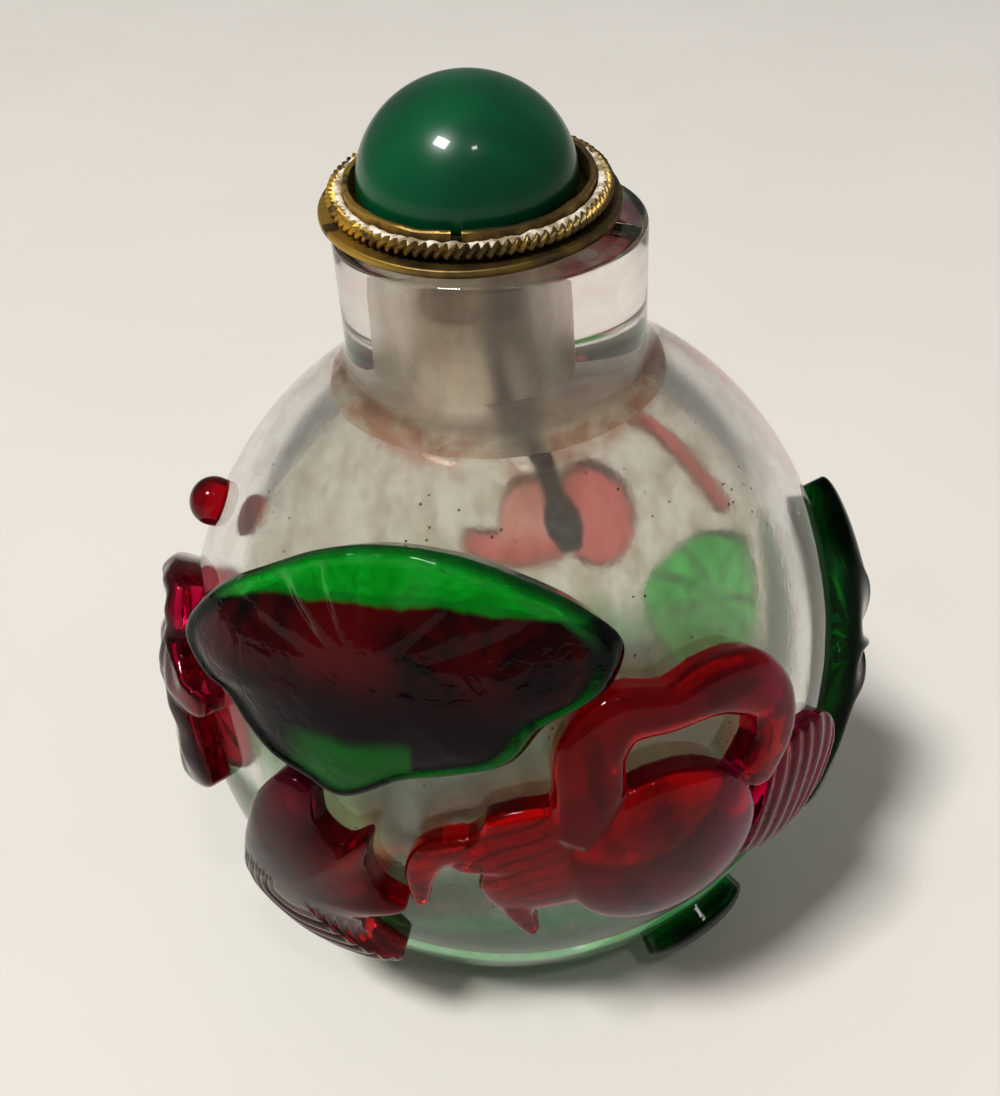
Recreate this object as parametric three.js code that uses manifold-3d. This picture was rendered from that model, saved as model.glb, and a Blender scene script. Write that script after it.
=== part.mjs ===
// A small flattened bottle of clear glass with carved ruby and green overlay on its walls,
// closed by a domed stopper in a brass mount with a cork and a spoon.
// Millimetres, +Z up. The origin is on the table under the bottle's axis, and the front faces -Y.

import * as THREE from 'three';
import { mergeVertices } from 'three/addons/utils/BufferGeometryUtils.js';
import Module from 'manifold-3d';

const wasm = await Module();
wasm.setup();

// Clearance between pieces that touch
const GAP = 0.3;

// Body: an ovoid that is flatter from front to back, cut flat below
const BODY_HALF_WIDTH = 22.4;
const BODY_HALF_DEPTH = 16.8;
const BODY_HALF_HEIGHT = 27.8;
const EQUATOR_HEIGHT = 25.0;

// Neck, with a small fillet where it meets the shoulder
const NECK_RADIUS = 9.0;
const NECK_RISE = 5.5;
const NECK_FILLET = 1.1;
const RIM_ROUNDING = 0.35;

// Hollow: a bore through the neck, a little to the left, and the cavity below it
const BORE_RADIUS = 3.8;
const BORE_SHIFT = -0.9;
const SIDE_WALL = 2.6;
const SHOULDER_WALL = 2.6;
const FLOOR_WALL = 4.2;

// Foot: an oval ring under the body
const FOOT_HALF_WIDTH = 12.4;
const FOOT_HALF_DEPTH = 7.2;
const FOOT_BAND = 2.8;
const FOOT_HEIGHT = 1.3;

// Overlay: how far each carved piece stands up, and the share of it that is upright wall at the edge
const LEAF_THICKNESS = 2.4;
const SIDE_LEAF_THICKNESS = 2.5;
const FOOT_LEAF_THICKNESS = 1.9;
const BIRD_THICKNESS = 2.3;
const BIRD_NECK_THICKNESS = 1.84;
const BIRD_WING_THICKNESS = 1.5;
const BIRD_TAIL_THICKNESS = 1.6;
const BIRD_TIP_THICKNESS = 1.38;
const FLOWER_THICKNESS = 2.2;
const RIBBED_THICKNESS = 2.0;
const BUD_THICKNESS = 1.6;
const BACK_THICKNESS = 1.8;
const BACK_BAND_THICKNESS = 1.45;
const PETAL_DISH = 0.9;
const EDGE_SHARE = 0.5;
const VEIN_HEIGHT = 0.35;
const RIB_HEIGHT = 0.4;

// Stopper: a disc on the rim, a rolled strip and a twisted wire on it, and a domed stone
const DISC_RADIUS = 8.65;
const DISC_THICKNESS = 0.5;
const STRIP_RADIUS = 7.1;
const STRIP_WALL = 0.35;
const STRIP_HEIGHT = 1.1;
const STRIP_SPLIT_ANGLE = 4.5;
const STRIP_SPLIT_BEARING = -10;
const WIRE_THICKNESS = 0.84;
const WIRE_TWISTS = 40;
const DOME_RADIUS = 6.3;
const DOME_RISE = 5.9;
const DOME_GIRDLE = 0.5;
const DOME_SHIFT_X = -0.1;
const DOME_SHIFT_Y = 0.15;

// How the stopper sits: slid aside on the rim and tipped towards the front
const STOPPER_SHIFT_X = -0.95;
const STOPPER_SHIFT_Y = 0.7;
const STOPPER_TIP = THREE.MathUtils.degToRad(4.5);

// Cork and spoon
const CORK_LENGTH = 4.3;
const CORK_CLEARANCE = 0.45;
const CORK_TAPER = 0.25;
const SPOON_LENGTH = 22;
const SPOON_LEAN = THREE.MathUtils.degToRad(13);
const SPOON_STEM_WIDTH = 1.4;
const SPOON_THICKNESS = 0.7;
const SPOON_BOWL_WIDTH = 2.6;
const SPOON_BOWL_SHARE = 0.22;
const SPOON_SET_BACK = 1.9;
const SPOON_SET_RIGHT = 0.5;
const SPOON_TIP_SHARE = 0.92;

// Fineness of the facets
const AROUND_BODY = 36;
const BODY_RINGS = 11;
const CAVITY_RINGS = 7;
const CAVITY_FOOT_LATITUDE = -0.46 * Math.PI;

// How fast the cavity's sections turn from the round bore to the body's oval
const CAVITY_ROUNDNESS = 0.35;

// Derived levels
const UNDERSIDE_HEIGHT = FOOT_HEIGHT + GAP;
const RIM_HEIGHT = EQUATOR_HEIGHT + BODY_HALF_HEIGHT + NECK_RISE;
const UNDERSIDE_LATITUDE = Math.asin((UNDERSIDE_HEIGHT - EQUATOR_HEIGHT) / BODY_HALF_HEIGHT);

// Colours of the pieces
const CLEAR = { color: 0xe4e0d2, roughness: 0.15, metalness: 0.0 };
const RUBY = { color: 0x7c0a14, roughness: 0.12, metalness: 0.0 };
const GREEN = { color: 0x0b5a26, roughness: 0.12, metalness: 0.0 };
const STONE = { color: 0x0a4a2e, roughness: 0.1, metalness: 0.0 };
const BRASS = { color: 0x8a6a32, roughness: 0.4, metalness: 0.9 };
const CORK = { color: 0x9a7b55, roughness: 0.9, metalness: 0.0 };
const SPOON = { color: 0x4a453d, roughness: 0.6, metalness: 0.2 };

// A mesh with shared corners from points and triangles, turned so that its faces point out
function closedGeometry(points, triangles) {
  const positions = new Float32Array(points.length * 3);
  points.forEach((point, index) => point.toArray(positions, index * 3));
  let volume = 0;
  for (const [a, b, c] of triangles) {
    const cross = new THREE.Vector3().crossVectors(points[b], points[c]);
    volume += points[a].dot(cross);
  }
  const outward = volume > 0 ? triangles : triangles.map(([a, b, c]) => [a, c, b]);
  const geometry = new THREE.BufferGeometry();
  geometry.setAttribute('position', new THREE.BufferAttribute(positions, 3));
  geometry.setIndex(outward.flat());
  return geometry;
}

// A closed solid through rings of equal size, from one end point to the other
function solidFromRings(start, rings, end) {
  const around = rings[0].length;
  const points = [start, ...rings.flat(), end];
  const last = points.length - 1;
  const triangles = [];
  for (let j = 0; j < around; j += 1) {
    const next = (j + 1) % around;
    triangles.push([0, 1 + next, 1 + j]);
    for (let i = 0; i + 1 < rings.length; i += 1) {
      const here = 1 + i * around;
      const above = here + around;
      triangles.push([here + j, here + next, above + j]);
      triangles.push([here + next, above + next, above + j]);
    }
    const top = 1 + (rings.length - 1) * around;
    triangles.push([top + j, top + next, last]);
  }
  return closedGeometry(points, triangles);
}

// A ring of points round the Z axis from a function of the angle
function ringAround(count, pointAt) {
  return Array.from({ length: count }, (_, index) => pointAt((2 * Math.PI * index) / count));
}

// The mean of a ring's points
function middleOf(ring) {
  const sum = new THREE.Vector3();
  ring.forEach((point) => sum.add(point));
  return sum.divideScalar(ring.length);
}

// Boolean work on closed geometries
function toManifold(geometry) {
  const bare = geometry.clone();
  bare.deleteAttribute('normal');
  bare.deleteAttribute('uv');
  const merged = mergeVertices(bare, 1e-5);
  const mesh = new wasm.Mesh({
    numProp: 3,
    vertProperties: new Float32Array(merged.attributes.position.array),
    triVerts: new Uint32Array(merged.index.array),
  });
  return new wasm.Manifold(mesh);
}

function fromManifold(solid) {
  const mesh = solid.getMesh();
  const geometry = new THREE.BufferGeometry();
  geometry.setAttribute('position', new THREE.BufferAttribute(mesh.vertProperties, 3));
  geometry.setIndex(new THREE.BufferAttribute(mesh.triVerts, 1));
  return geometry;
}

function joined(geometries) {
  return geometries.map(toManifold).reduce((sum, solid) => sum.add(solid));
}

// Where the bottle's wall is: bearing in degrees from the front towards the right,
// latitude in degrees above the widest level, and a distance out from the glass
function wallPoint(bearing, latitude, out = 0) {
  const turn = THREE.MathUtils.degToRad(bearing);
  const lift = THREE.MathUtils.degToRad(latitude);
  const x = BODY_HALF_WIDTH * Math.cos(lift) * Math.sin(turn);
  const y = -BODY_HALF_DEPTH * Math.cos(lift) * Math.cos(turn);
  const z = BODY_HALF_HEIGHT * Math.sin(lift);
  const normal = new THREE.Vector3(
    x / BODY_HALF_WIDTH ** 2,
    y / BODY_HALF_DEPTH ** 2,
    z / BODY_HALF_HEIGHT ** 2,
  );
  return new THREE.Vector3(x, y, z + EQUATOR_HEIGHT).addScaledVector(normal.normalize(), out);
}

// Millimetres on the wall for one degree of bearing and one of latitude
function wallScale(bearing, latitude) {
  const here = wallPoint(bearing, latitude);
  return {
    across: wallPoint(bearing + 1, latitude).distanceTo(here),
    up: wallPoint(bearing, latitude + 1).distanceTo(here),
  };
}

// Distance from the axis to the ovoid's outline at its widest level, at an angle round the axis
function reachAt(angle, halfWidth, halfDepth) {
  return 1 / Math.hypot(Math.cos(angle) / halfWidth, Math.sin(angle) / halfDepth);
}

// The bottle: the outside from the middle of its underside up to the rim, then down the bore,
// and round the cavity to its floor
function bottleGeometry() {
  const onOutside = (angle, latitude) => {
    const reach = reachAt(angle, BODY_HALF_WIDTH, BODY_HALF_DEPTH) * Math.cos(latitude);
    const height = EQUATOR_HEIGHT + BODY_HALF_HEIGHT * Math.sin(latitude);
    return new THREE.Vector3(reach * Math.cos(angle), reach * Math.sin(angle), height);
  };
  const latitudeAtRadius = (angle, radius) =>
    Math.acos(radius / reachAt(angle, BODY_HALF_WIDTH, BODY_HALF_DEPTH));
  const neckPoint = (angle, radius, height, shift = 0) =>
    new THREE.Vector3(shift + radius * Math.cos(angle), radius * Math.sin(angle), height);

  const rings = [];
  for (let i = 0; i <= BODY_RINGS; i += 1) {
    rings.push(ringAround(AROUND_BODY, (angle) => {
      const top = latitudeAtRadius(angle, NECK_RADIUS + NECK_FILLET);
      return onOutside(angle, THREE.MathUtils.lerp(UNDERSIDE_LATITUDE, top, i / BODY_RINGS));
    }));
  }
  for (const share of [1 / 3, 2 / 3, 1]) {
    rings.push(ringAround(AROUND_BODY, (angle) => {
      const from = onOutside(angle, latitudeAtRadius(angle, NECK_RADIUS + NECK_FILLET));
      const corner = onOutside(angle, latitudeAtRadius(angle, NECK_RADIUS));
      const to = neckPoint(angle, NECK_RADIUS, corner.z + NECK_FILLET);
      return new THREE.QuadraticBezierCurve3(from, corner, to).getPoint(share);
    }));
  }
  rings.push(ringAround(AROUND_BODY, (angle) => neckPoint(angle, NECK_RADIUS, RIM_HEIGHT - RIM_ROUNDING)));
  rings.push(ringAround(AROUND_BODY, (angle) => neckPoint(angle, NECK_RADIUS - RIM_ROUNDING, RIM_HEIGHT)));

  const cavityHalfWidth = BODY_HALF_WIDTH - SIDE_WALL;
  const cavityHalfDepth = BODY_HALF_DEPTH - SIDE_WALL;
  const ceiling = BODY_HALF_HEIGHT - SHOULDER_WALL;
  const floor = EQUATOR_HEIGHT - UNDERSIDE_HEIGHT - FLOOR_WALL;
  const boreFoot = EQUATOR_HEIGHT + ceiling * Math.sqrt(1 - (BORE_RADIUS / cavityHalfDepth) ** 2);
  const boreLevels = [
    [BORE_RADIUS + RIM_ROUNDING, RIM_HEIGHT],
    [BORE_RADIUS, RIM_HEIGHT - RIM_ROUNDING],
    [BORE_RADIUS, boreFoot + RIM_ROUNDING],
  ];
  boreLevels.forEach(([radius, height]) => {
    rings.push(ringAround(AROUND_BODY, (angle) => neckPoint(angle, radius, height, BORE_SHIFT)));
  });
  const cavityTop = 0.5 * Math.PI - Math.asin((BORE_RADIUS + 2 * RIM_ROUNDING) / cavityHalfDepth);
  for (let i = 0; i <= CAVITY_RINGS; i += 1) {
    const latitude = THREE.MathUtils.lerp(cavityTop, CAVITY_FOOT_LATITUDE, i / CAVITY_RINGS);
    const half = latitude > 0 ? ceiling : floor;
    const height = EQUATOR_HEIGHT + half * Math.sin(latitude);
    const roundness = Math.cos(latitude) ** CAVITY_ROUNDNESS;
    rings.push(ringAround(AROUND_BODY, (angle) => {
      const oval = reachAt(angle, cavityHalfWidth, cavityHalfDepth) * Math.cos(latitude);
      const circle = cavityHalfDepth * Math.cos(latitude);
      return neckPoint(angle, THREE.MathUtils.lerp(circle, oval, roundness), height);
    }));
  }
  const underside = new THREE.Vector3(0, 0, UNDERSIDE_HEIGHT);
  const cavityFloor = new THREE.Vector3(0, 0, EQUATOR_HEIGHT - floor);
  return solidFromRings(underside, rings, cavityFloor);
}

// The foot: an oval ring, flat below
function footGeometry() {
  const shape = new THREE.Shape();
  shape.absellipse(0, 0, FOOT_HALF_WIDTH, FOOT_HALF_DEPTH, 0, 2 * Math.PI);
  const hole = new THREE.Path();
  hole.absellipse(0, 0, FOOT_HALF_WIDTH - FOOT_BAND, FOOT_HALF_DEPTH - FOOT_BAND, 0, 2 * Math.PI);
  shape.holes.push(hole);
  return new THREE.ExtrudeGeometry(shape, { depth: FOOT_HEIGHT, bevelEnabled: false, curveSegments: 16 });
}

// A smooth closed outline on the wall through a few points of bearing and latitude
function smoothOutline(corners, samples) {
  const points = corners.map(([bearing, latitude]) => new THREE.Vector3(bearing, latitude, 0));
  return new THREE.CatmullRomCurve3(points, true, 'centripetal').getSpacedPoints(samples).slice(0, samples);
}

function ovalOutline([bearing, latitude], [halfBearing, halfLatitude], samples) {
  return ringAround(samples, (angle) => new THREE.Vector3(
    bearing + halfBearing * Math.cos(angle),
    latitude + halfLatitude * Math.sin(angle),
    0,
  ));
}

const DOME_STEPS = [0.38, 0.7, 0.91, 1];
const BACKING_STEPS = [1, 0.68, 0.34];

// A carved lump of overlay: a domed top over an outline, upright at its edge, its back against the wall.
// relief gives a height to add for a share of the way out and an angle round the centre.
function carvedLump({ outline, centre, thickness, relief = () => 0, margin = 0, steps = DOME_STEPS }) {
  const [bearing, latitude] = centre;
  const spread = (corner) => {
    const scale = wallScale(corner.x, corner.y);
    const dx = (corner.x - bearing) * scale.across;
    const dy = (corner.y - latitude) * scale.up;
    const length = Math.hypot(dx, dy);
    const grown = (length + margin) / length;
    return [(corner.x - bearing) * grown, (corner.y - latitude) * grown, Math.atan2(dy, dx)];
  };
  const corners = outline.map(spread);
  const crown = (share) => EDGE_SHARE + (1 - EDGE_SHARE) * Math.sqrt(1 - share ** 3);
  const height = (share, angle) => GAP + margin + thickness * crown(share) + relief(share, angle);
  const ringAt = (share, out) => corners.map(([dx, dy, angle]) =>
    wallPoint(bearing + share * dx, latitude + share * dy, out(share, angle)));
  const back = margin > 0 ? 0 : GAP;
  const top = steps.map((share) => ringAt(share, height));
  const under = BACKING_STEPS.map((share) => ringAt(share, () => back));
  const summit = wallPoint(bearing, latitude, GAP + margin + thickness + relief(0, 0));
  return solidFromRings(summit, [...top, ...under], wallPoint(bearing, latitude, back));
}

// A carved band of overlay along a path of [bearing, latitude, half-width].
// relief gives a share of the thickness for a share of the way along and across.
function carvedBand({ path, thickness, sections, relief = () => 1, across = 4 }) {
  const knots = path.map((knot) => new THREE.Vector3(...knot));
  const curve = new THREE.CatmullRomCurve3(knots, false, 'centripetal');
  const rings = [];
  for (let i = 0; i < sections; i += 1) {
    const along = i / (sections - 1);
    const { x: bearing, y: latitude, z: half } = curve.getPoint(along);
    const tangent = curve.getTangent(along);
    const scale = wallScale(bearing, latitude);
    const dx = tangent.x * scale.across;
    const dy = tangent.y * scale.up;
    const length = Math.hypot(dx, dy);
    const side = (share, out) => wallPoint(
      bearing - (dy / length) * (share * half) / scale.across,
      latitude + (dx / length) * (share * half) / scale.up,
      out,
    );
    const ring = [];
    for (let j = 0; j <= across; j += 1) {
      const share = (2 * j) / across - 1;
      const crown = EDGE_SHARE + (1 - EDGE_SHARE) * Math.sqrt(1 - Math.abs(share) ** 3);
      ring.push(side(share, GAP + thickness * crown * relief(along, share)));
    }
    for (let j = across; j >= 0; j -= 1) {
      ring.push(side((2 * j) / across - 1, GAP));
    }
    rings.push(ring);
  }
  return solidFromRings(middleOf(rings[0]), rings, middleOf(rings[rings.length - 1]));
}

// The lotus leaf on the front shoulder: scalloped edge, radial veins
const LEAF_CENTRE = [-26, 27];
const LEAF_OUTLINE = [
  [-70, 23.5], [-66, 29], [-59, 33.5], [-50, 37.5], [-40, 41.5], [-28, 43.8], [-12, 43], [0, 39.5],
  [9, 35], [14.5, 29.5], [11.5, 24.5], [1, 20.5], [-4, 16.3], [-12, 14.6], [-20, 13.1], [-30, 9.6],
  [-36, 11.4], [-43, 12.9], [-48, 15.4], [-54, 19], [-62, 20],
];
const LEAF_VEINS = 9;
const leafLump = (margin) => carvedLump({
  outline: smoothOutline(LEAF_OUTLINE, 48),
  centre: LEAF_CENTRE,
  thickness: LEAF_THICKNESS,
  relief: (share, angle) => VEIN_HEIGHT * Math.sin(Math.PI * share) * Math.cos(LEAF_VEINS * angle),
  margin,
});

// The water bird: body, a neck bent back in a loop, a ribbed wing, a tail and feet
const BIRD_BODY_CENTRE = [19, -3.5];
const BIRD_BODY_HALF = [16.5, 13.3];
const BIRD_NECK_PATH = [
  [5, 2, 2.0], [7, 9, 2.1], [7.5, 15, 2.1], [12, 19.3, 1.9], [21, 19, 1.5],
  [29, 19.6, 1.9], [35, 18.2, 2.1], [39.5, 14, 1.7], [39.5, 9, 1.6], [34, 3, 1.6],
];
const BIRD_WING_PATH = [[37, -3.5, 4.6], [44, -4.8, 4.9], [51, -6.2, 4.8], [57, -8.2, 3.6]];
const BIRD_TAIL_CENTRE = [-2, -1];
const BIRD_TAIL_OUTLINE = [
  [4, 7], [-8, 6.8], [-10, 4.5], [-15, 1.6], [-14.5, -2], [-10, -2.2], [-10.5, -6], [-7, -11],
  [0, -11], [7, -9],
];
const BIRD_TAIL_TIP_PATH = [[-11, 2, 1.0], [-17, 0, 1.1], [-19.5, -3.5, 1.0], [-20.2, -9.5, 0.5]];
const BIRD_FOOT_PATH = [[-5, -8, 1.3], [-4.5, -12, 0.9], [-2.5, -16.6, 0.45]];
const WING_RIBS = 6;
const WING_RIB_SHARE = 0.22;
const wingRelief = (along) => 1 - WING_RIB_SHARE * (1 - Math.cos(2 * Math.PI * WING_RIBS * along));
function birdGeometry() {
  const parts = [
    carvedLump({
      outline: ovalOutline(BIRD_BODY_CENTRE, BIRD_BODY_HALF, 32),
      centre: BIRD_BODY_CENTRE,
      thickness: BIRD_THICKNESS,
    }),
    carvedBand({ path: BIRD_NECK_PATH, thickness: BIRD_NECK_THICKNESS, sections: 15 }),
    carvedBand({
      path: BIRD_WING_PATH,
      thickness: BIRD_WING_THICKNESS,
      sections: 2 * WING_RIBS + 1,
      relief: wingRelief,
    }),
    carvedLump({
      outline: smoothOutline(BIRD_TAIL_OUTLINE, 28),
      centre: BIRD_TAIL_CENTRE,
      thickness: BIRD_TAIL_THICKNESS,
    }),
    carvedBand({ path: BIRD_TAIL_TIP_PATH, thickness: BIRD_TIP_THICKNESS, sections: 6, across: 2 }),
    carvedBand({ path: BIRD_FOOT_PATH, thickness: BIRD_TIP_THICKNESS, sections: 4, across: 2 }),
  ];
  return fromManifold(joined(parts).subtract(toManifold(leafLump(GAP))));
}

// The ribbed leaf low on the left: ridges nested along its outer edge
const RIBBED_CENTRE = [-45, -12];
const RIBBED_OUTLINE = [
  [-42, 9], [-37, 8.2], [-36, 2], [-32, -0.5], [-27.5, 1.5], [-28.5, -4], [-27, -8.3], [-23, -11.4],
  [-27, -13.8], [-31, -16.1], [-33, -21.3], [-29, -29.5], [-38, -31.5], [-49, -32.6], [-58.5, -30],
  [-63.5, -24.5], [-62, -18], [-57, -10], [-52.5, -3], [-48, 4],
];
const NESTED_RIBS = 3;
const OUTER_SIDE_ANGLE = -0.72 * Math.PI;
const ribbedRelief = (share, angle) => {
  const outerSide = Math.max(0, Math.cos(angle - OUTER_SIDE_ANGLE));
  return -RIB_HEIGHT * outerSide * Math.sin(Math.PI * share) * Math.cos(2 * Math.PI * NESTED_RIBS * share);
};
function ribbedLeafGeometry() {
  const lump = carvedLump({
    outline: smoothOutline(RIBBED_OUTLINE, 38),
    centre: RIBBED_CENTRE,
    thickness: RIBBED_THICKNESS,
    relief: ribbedRelief,
    steps: [0.17, 0.33, 0.5, 0.67, 0.83, 0.95, 1],
  });
  return fromManifold(toManifold(lump).subtract(toManifold(leafLump(GAP))));
}

// The open flower on the left edge: two dished petals
const UPPER_PETAL_CENTRE = [-85, 17.5];
const UPPER_PETAL_OUTLINE = [
  [-77, 25.2], [-73.5, 22], [-72, 18], [-66, 15], [-61, 13.7], [-61.5, 11], [-68, 9], [-80, 8],
  [-95, 8.5], [-104, 13], [-103, 18], [-95, 22.5], [-85, 25.5],
];
const LOWER_PETAL_CENTRE = [-84, 2];
const LOWER_PETAL_OUTLINE = [
  [-67, 9], [-64, 4], [-63, -1.5], [-68, -5], [-77, -8], [-90, -9.5], [-102, -6], [-107, 2], [-103, 9],
  [-92, 12], [-78, 12],
];
const DISH_REACH = 0.75;
const dish = (share) => -PETAL_DISH * Math.cos(0.5 * Math.PI * Math.min(1, share / DISH_REACH));
function flowerGeometry() {
  const petal = (corners, centre) => carvedLump({
    outline: smoothOutline(corners, 28),
    centre,
    thickness: FLOWER_THICKNESS,
    relief: dish,
  });
  const petals = [
    petal(UPPER_PETAL_OUTLINE, UPPER_PETAL_CENTRE),
    petal(LOWER_PETAL_OUTLINE, LOWER_PETAL_CENTRE),
  ];
  return fromManifold(joined(petals).subtract(toManifold(leafLump(GAP))));
}

// The round bud above the flower
const BUD_CENTRE = [-88, 35.5];
const BUD_HALF = [6.2, 3.5];
const budGeometry = () => carvedLump({
  outline: ovalOutline(BUD_CENTRE, BUD_HALF, 14),
  centre: BUD_CENTRE,
  thickness: BUD_THICKNESS,
  steps: [0.4, 0.75, 1],
});

// The tall leaf on the right edge
const SIDE_LEAF_CENTRE = [90.5, -1.5];
const SIDE_LEAF_OUTLINE = [
  [89, 22.5], [84, 15], [79.5, 4.5], [75, -6.5], [70.5, -17], [70, -25], [76, -29], [87, -28],
  [97, -21], [103, -9], [106, 5], [104.5, 15.5], [99, 22.5], [94, 25],
];
const SIDE_VEINS = 7;
const sideLeafGeometry = () => carvedLump({
  outline: smoothOutline(SIDE_LEAF_OUTLINE, 36),
  centre: SIDE_LEAF_CENTRE,
  thickness: SIDE_LEAF_THICKNESS,
  relief: (share, angle) => VEIN_HEIGHT * Math.sin(Math.PI * share) * Math.cos(SIDE_VEINS * angle),
});

// The small leaf low on the right, beside the foot
const FOOT_LEAF_CENTRE = [46, -44.5];
const FOOT_LEAF_OUTLINE = [
  [30, -43.5], [37, -39.5], [46, -37.5], [55, -38], [61, -42], [59, -47], [48, -51], [36, -50],
  [30, -47],
];
const footLeafGeometry = () => carvedLump({
  outline: smoothOutline(FOOT_LEAF_OUTLINE, 24),
  centre: FOOT_LEAF_CENTRE,
  thickness: FOOT_LEAF_THICKNESS,
});

// The back: a flower with a side petal, a slim petal, and two leaves
const BACK_PETALS = [
  { centre: [157, 3.5], half: [9.5, 11.5] },
  { centre: [171, 1.5], half: [8.5, 9.5] },
];
const BACK_SIDE_PETAL_PATH = [[165, -3, 1.9], [176, -5, 1.9], [188, -2, 1.0]];
const SLIM_PETAL_PATH = [[145, 31, 0.5], [137, 29, 0.9], [129, 22, 1.1], [121, 13.5, 0.9]];
const BACK_LEAF_CENTRE = [127, -9];
const BACK_LEAF_OUTLINE = [
  [116, 9], [124, 7.5], [133, 3.5], [140, -3], [145, -9.5], [143, -17], [134, -23], [124, -25],
  [115, -20], [111, -11], [112, 0],
];
const BACK_LEFT_LEAF_CENTRE = [-128, -15];
const BACK_LEFT_LEAF_OUTLINE = [
  [-104, -14], [-108, -23], [-119, -28.5], [-132, -29.5], [-145, -25], [-152, -16], [-150, -6],
  [-141, 1], [-128, 2.5], [-114, -2],
];
function backFlowerGeometry() {
  const petals = BACK_PETALS.map(({ centre, half }) => carvedLump({
    outline: ovalOutline(centre, half, 22),
    centre,
    thickness: BACK_THICKNESS,
  }));
  const sidePetal = carvedBand({ path: BACK_SIDE_PETAL_PATH, thickness: BACK_BAND_THICKNESS, sections: 7 });
  return fromManifold(joined([...petals, sidePetal]));
}
const slimPetalGeometry = () =>
  carvedBand({ path: SLIM_PETAL_PATH, thickness: BACK_BAND_THICKNESS, sections: 9 });
const backLeafGeometry = () => carvedLump({
  outline: smoothOutline(BACK_LEAF_OUTLINE, 28),
  centre: BACK_LEAF_CENTRE,
  thickness: BACK_THICKNESS,
  relief: (share, angle) => VEIN_HEIGHT * Math.sin(Math.PI * share) * Math.cos(SIDE_VEINS * angle),
});
const backLeftLeafGeometry = () => carvedLump({
  outline: smoothOutline(BACK_LEFT_LEAF_OUTLINE, 30),
  centre: BACK_LEFT_LEAF_CENTRE,
  thickness: BACK_THICKNESS,
  relief: (share, angle) => VEIN_HEIGHT * Math.sin(Math.PI * share) * Math.cos(SIDE_VEINS * angle),
});

// A turned piece from a profile of [radius, height] that starts and ends on the axis
function turned(profile, segments) {
  const points = profile.map(([radius, height]) => new THREE.Vector2(radius, height));
  const geometry = new THREE.LatheGeometry(points, segments);
  geometry.rotateX(0.5 * Math.PI);
  return fromManifold(toManifold(outwardCopy(geometry)));
}

// A lathe's seam is merged and its faces are turned outwards
function outwardCopy(geometry) {
  const bare = geometry.clone();
  bare.deleteAttribute('normal');
  bare.deleteAttribute('uv');
  const merged = mergeVertices(bare, 1e-5);
  const positions = merged.attributes.position;
  const points = [];
  for (let i = 0; i < positions.count; i += 1) {
    points.push(new THREE.Vector3().fromBufferAttribute(positions, i));
  }
  const triangles = [];
  for (let i = 0; i < merged.index.count; i += 3) {
    const corners = [0, 1, 2].map((k) => merged.index.getX(i + k));
    if (new Set(corners).size === 3) {
      triangles.push(corners);
    }
  }
  return closedGeometry(points, triangles);
}

// The disc under the stone
const DISC_EDGE = 0.15;
const discGeometry = () => turned([
  [0, 0],
  [DISC_RADIUS - DISC_EDGE, 0],
  [DISC_RADIUS, DISC_EDGE],
  [DISC_RADIUS, DISC_THICKNESS - DISC_EDGE],
  [DISC_RADIUS - DISC_EDGE, DISC_THICKNESS],
  [0, DISC_THICKNESS],
], 40);

// The strip round the stone, open at its split
const ON_DISC = DISC_THICKNESS + GAP;
function stripGeometry() {
  const sections = 40;
  const from = STRIP_SPLIT_BEARING - 90 + 0.5 * STRIP_SPLIT_ANGLE;
  const inner = STRIP_RADIUS - STRIP_WALL;
  const rings = [];
  for (let i = 0; i <= sections; i += 1) {
    const angle = THREE.MathUtils.degToRad(from + ((360 - STRIP_SPLIT_ANGLE) * i) / sections);
    const corner = (radius, height) =>
      new THREE.Vector3(radius * Math.cos(angle), radius * Math.sin(angle), ON_DISC + height);
    rings.push([
      corner(inner, 0),
      corner(STRIP_RADIUS, 0),
      corner(STRIP_RADIUS, STRIP_HEIGHT),
      corner(inner, STRIP_HEIGHT),
    ]);
  }
  return solidFromRings(middleOf(rings[0]), rings, middleOf(rings[sections]));
}

// The twisted wire: a closed tube that swells and narrows once at each twist
const WIRE_WAIST = 0.78;
function wireGeometry() {
  const stepsPerTwist = 2;
  const sides = 5;
  const steps = WIRE_TWISTS * stepsPerTwist;
  const ringRadius = STRIP_RADIUS + GAP + 0.5 * WIRE_THICKNESS;
  const middleHeight = ON_DISC + 0.5 * WIRE_THICKNESS;
  const points = [];
  for (let i = 0; i < steps; i += 1) {
    const angle = (2 * Math.PI * i) / steps;
    const bulge = i % stepsPerTwist === 0 ? 1 : WIRE_WAIST;
    for (let j = 0; j < sides; j += 1) {
      const turn = (2 * Math.PI * j) / sides + (Math.PI * (i % stepsPerTwist)) / sides;
      const radius = ringRadius + 0.5 * WIRE_THICKNESS * bulge * Math.cos(turn);
      const height = middleHeight + 0.5 * WIRE_THICKNESS * bulge * Math.sin(turn);
      points.push(new THREE.Vector3(radius * Math.cos(angle), radius * Math.sin(angle), height));
    }
  }
  const triangles = [];
  for (let i = 0; i < steps; i += 1) {
    const next = (i + 1) % steps;
    for (let j = 0; j < sides; j += 1) {
      const turn = (j + 1) % sides;
      triangles.push([i * sides + j, next * sides + j, i * sides + turn]);
      triangles.push([next * sides + j, next * sides + turn, i * sides + turn]);
    }
  }
  return closedGeometry(points, triangles);
}

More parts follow.
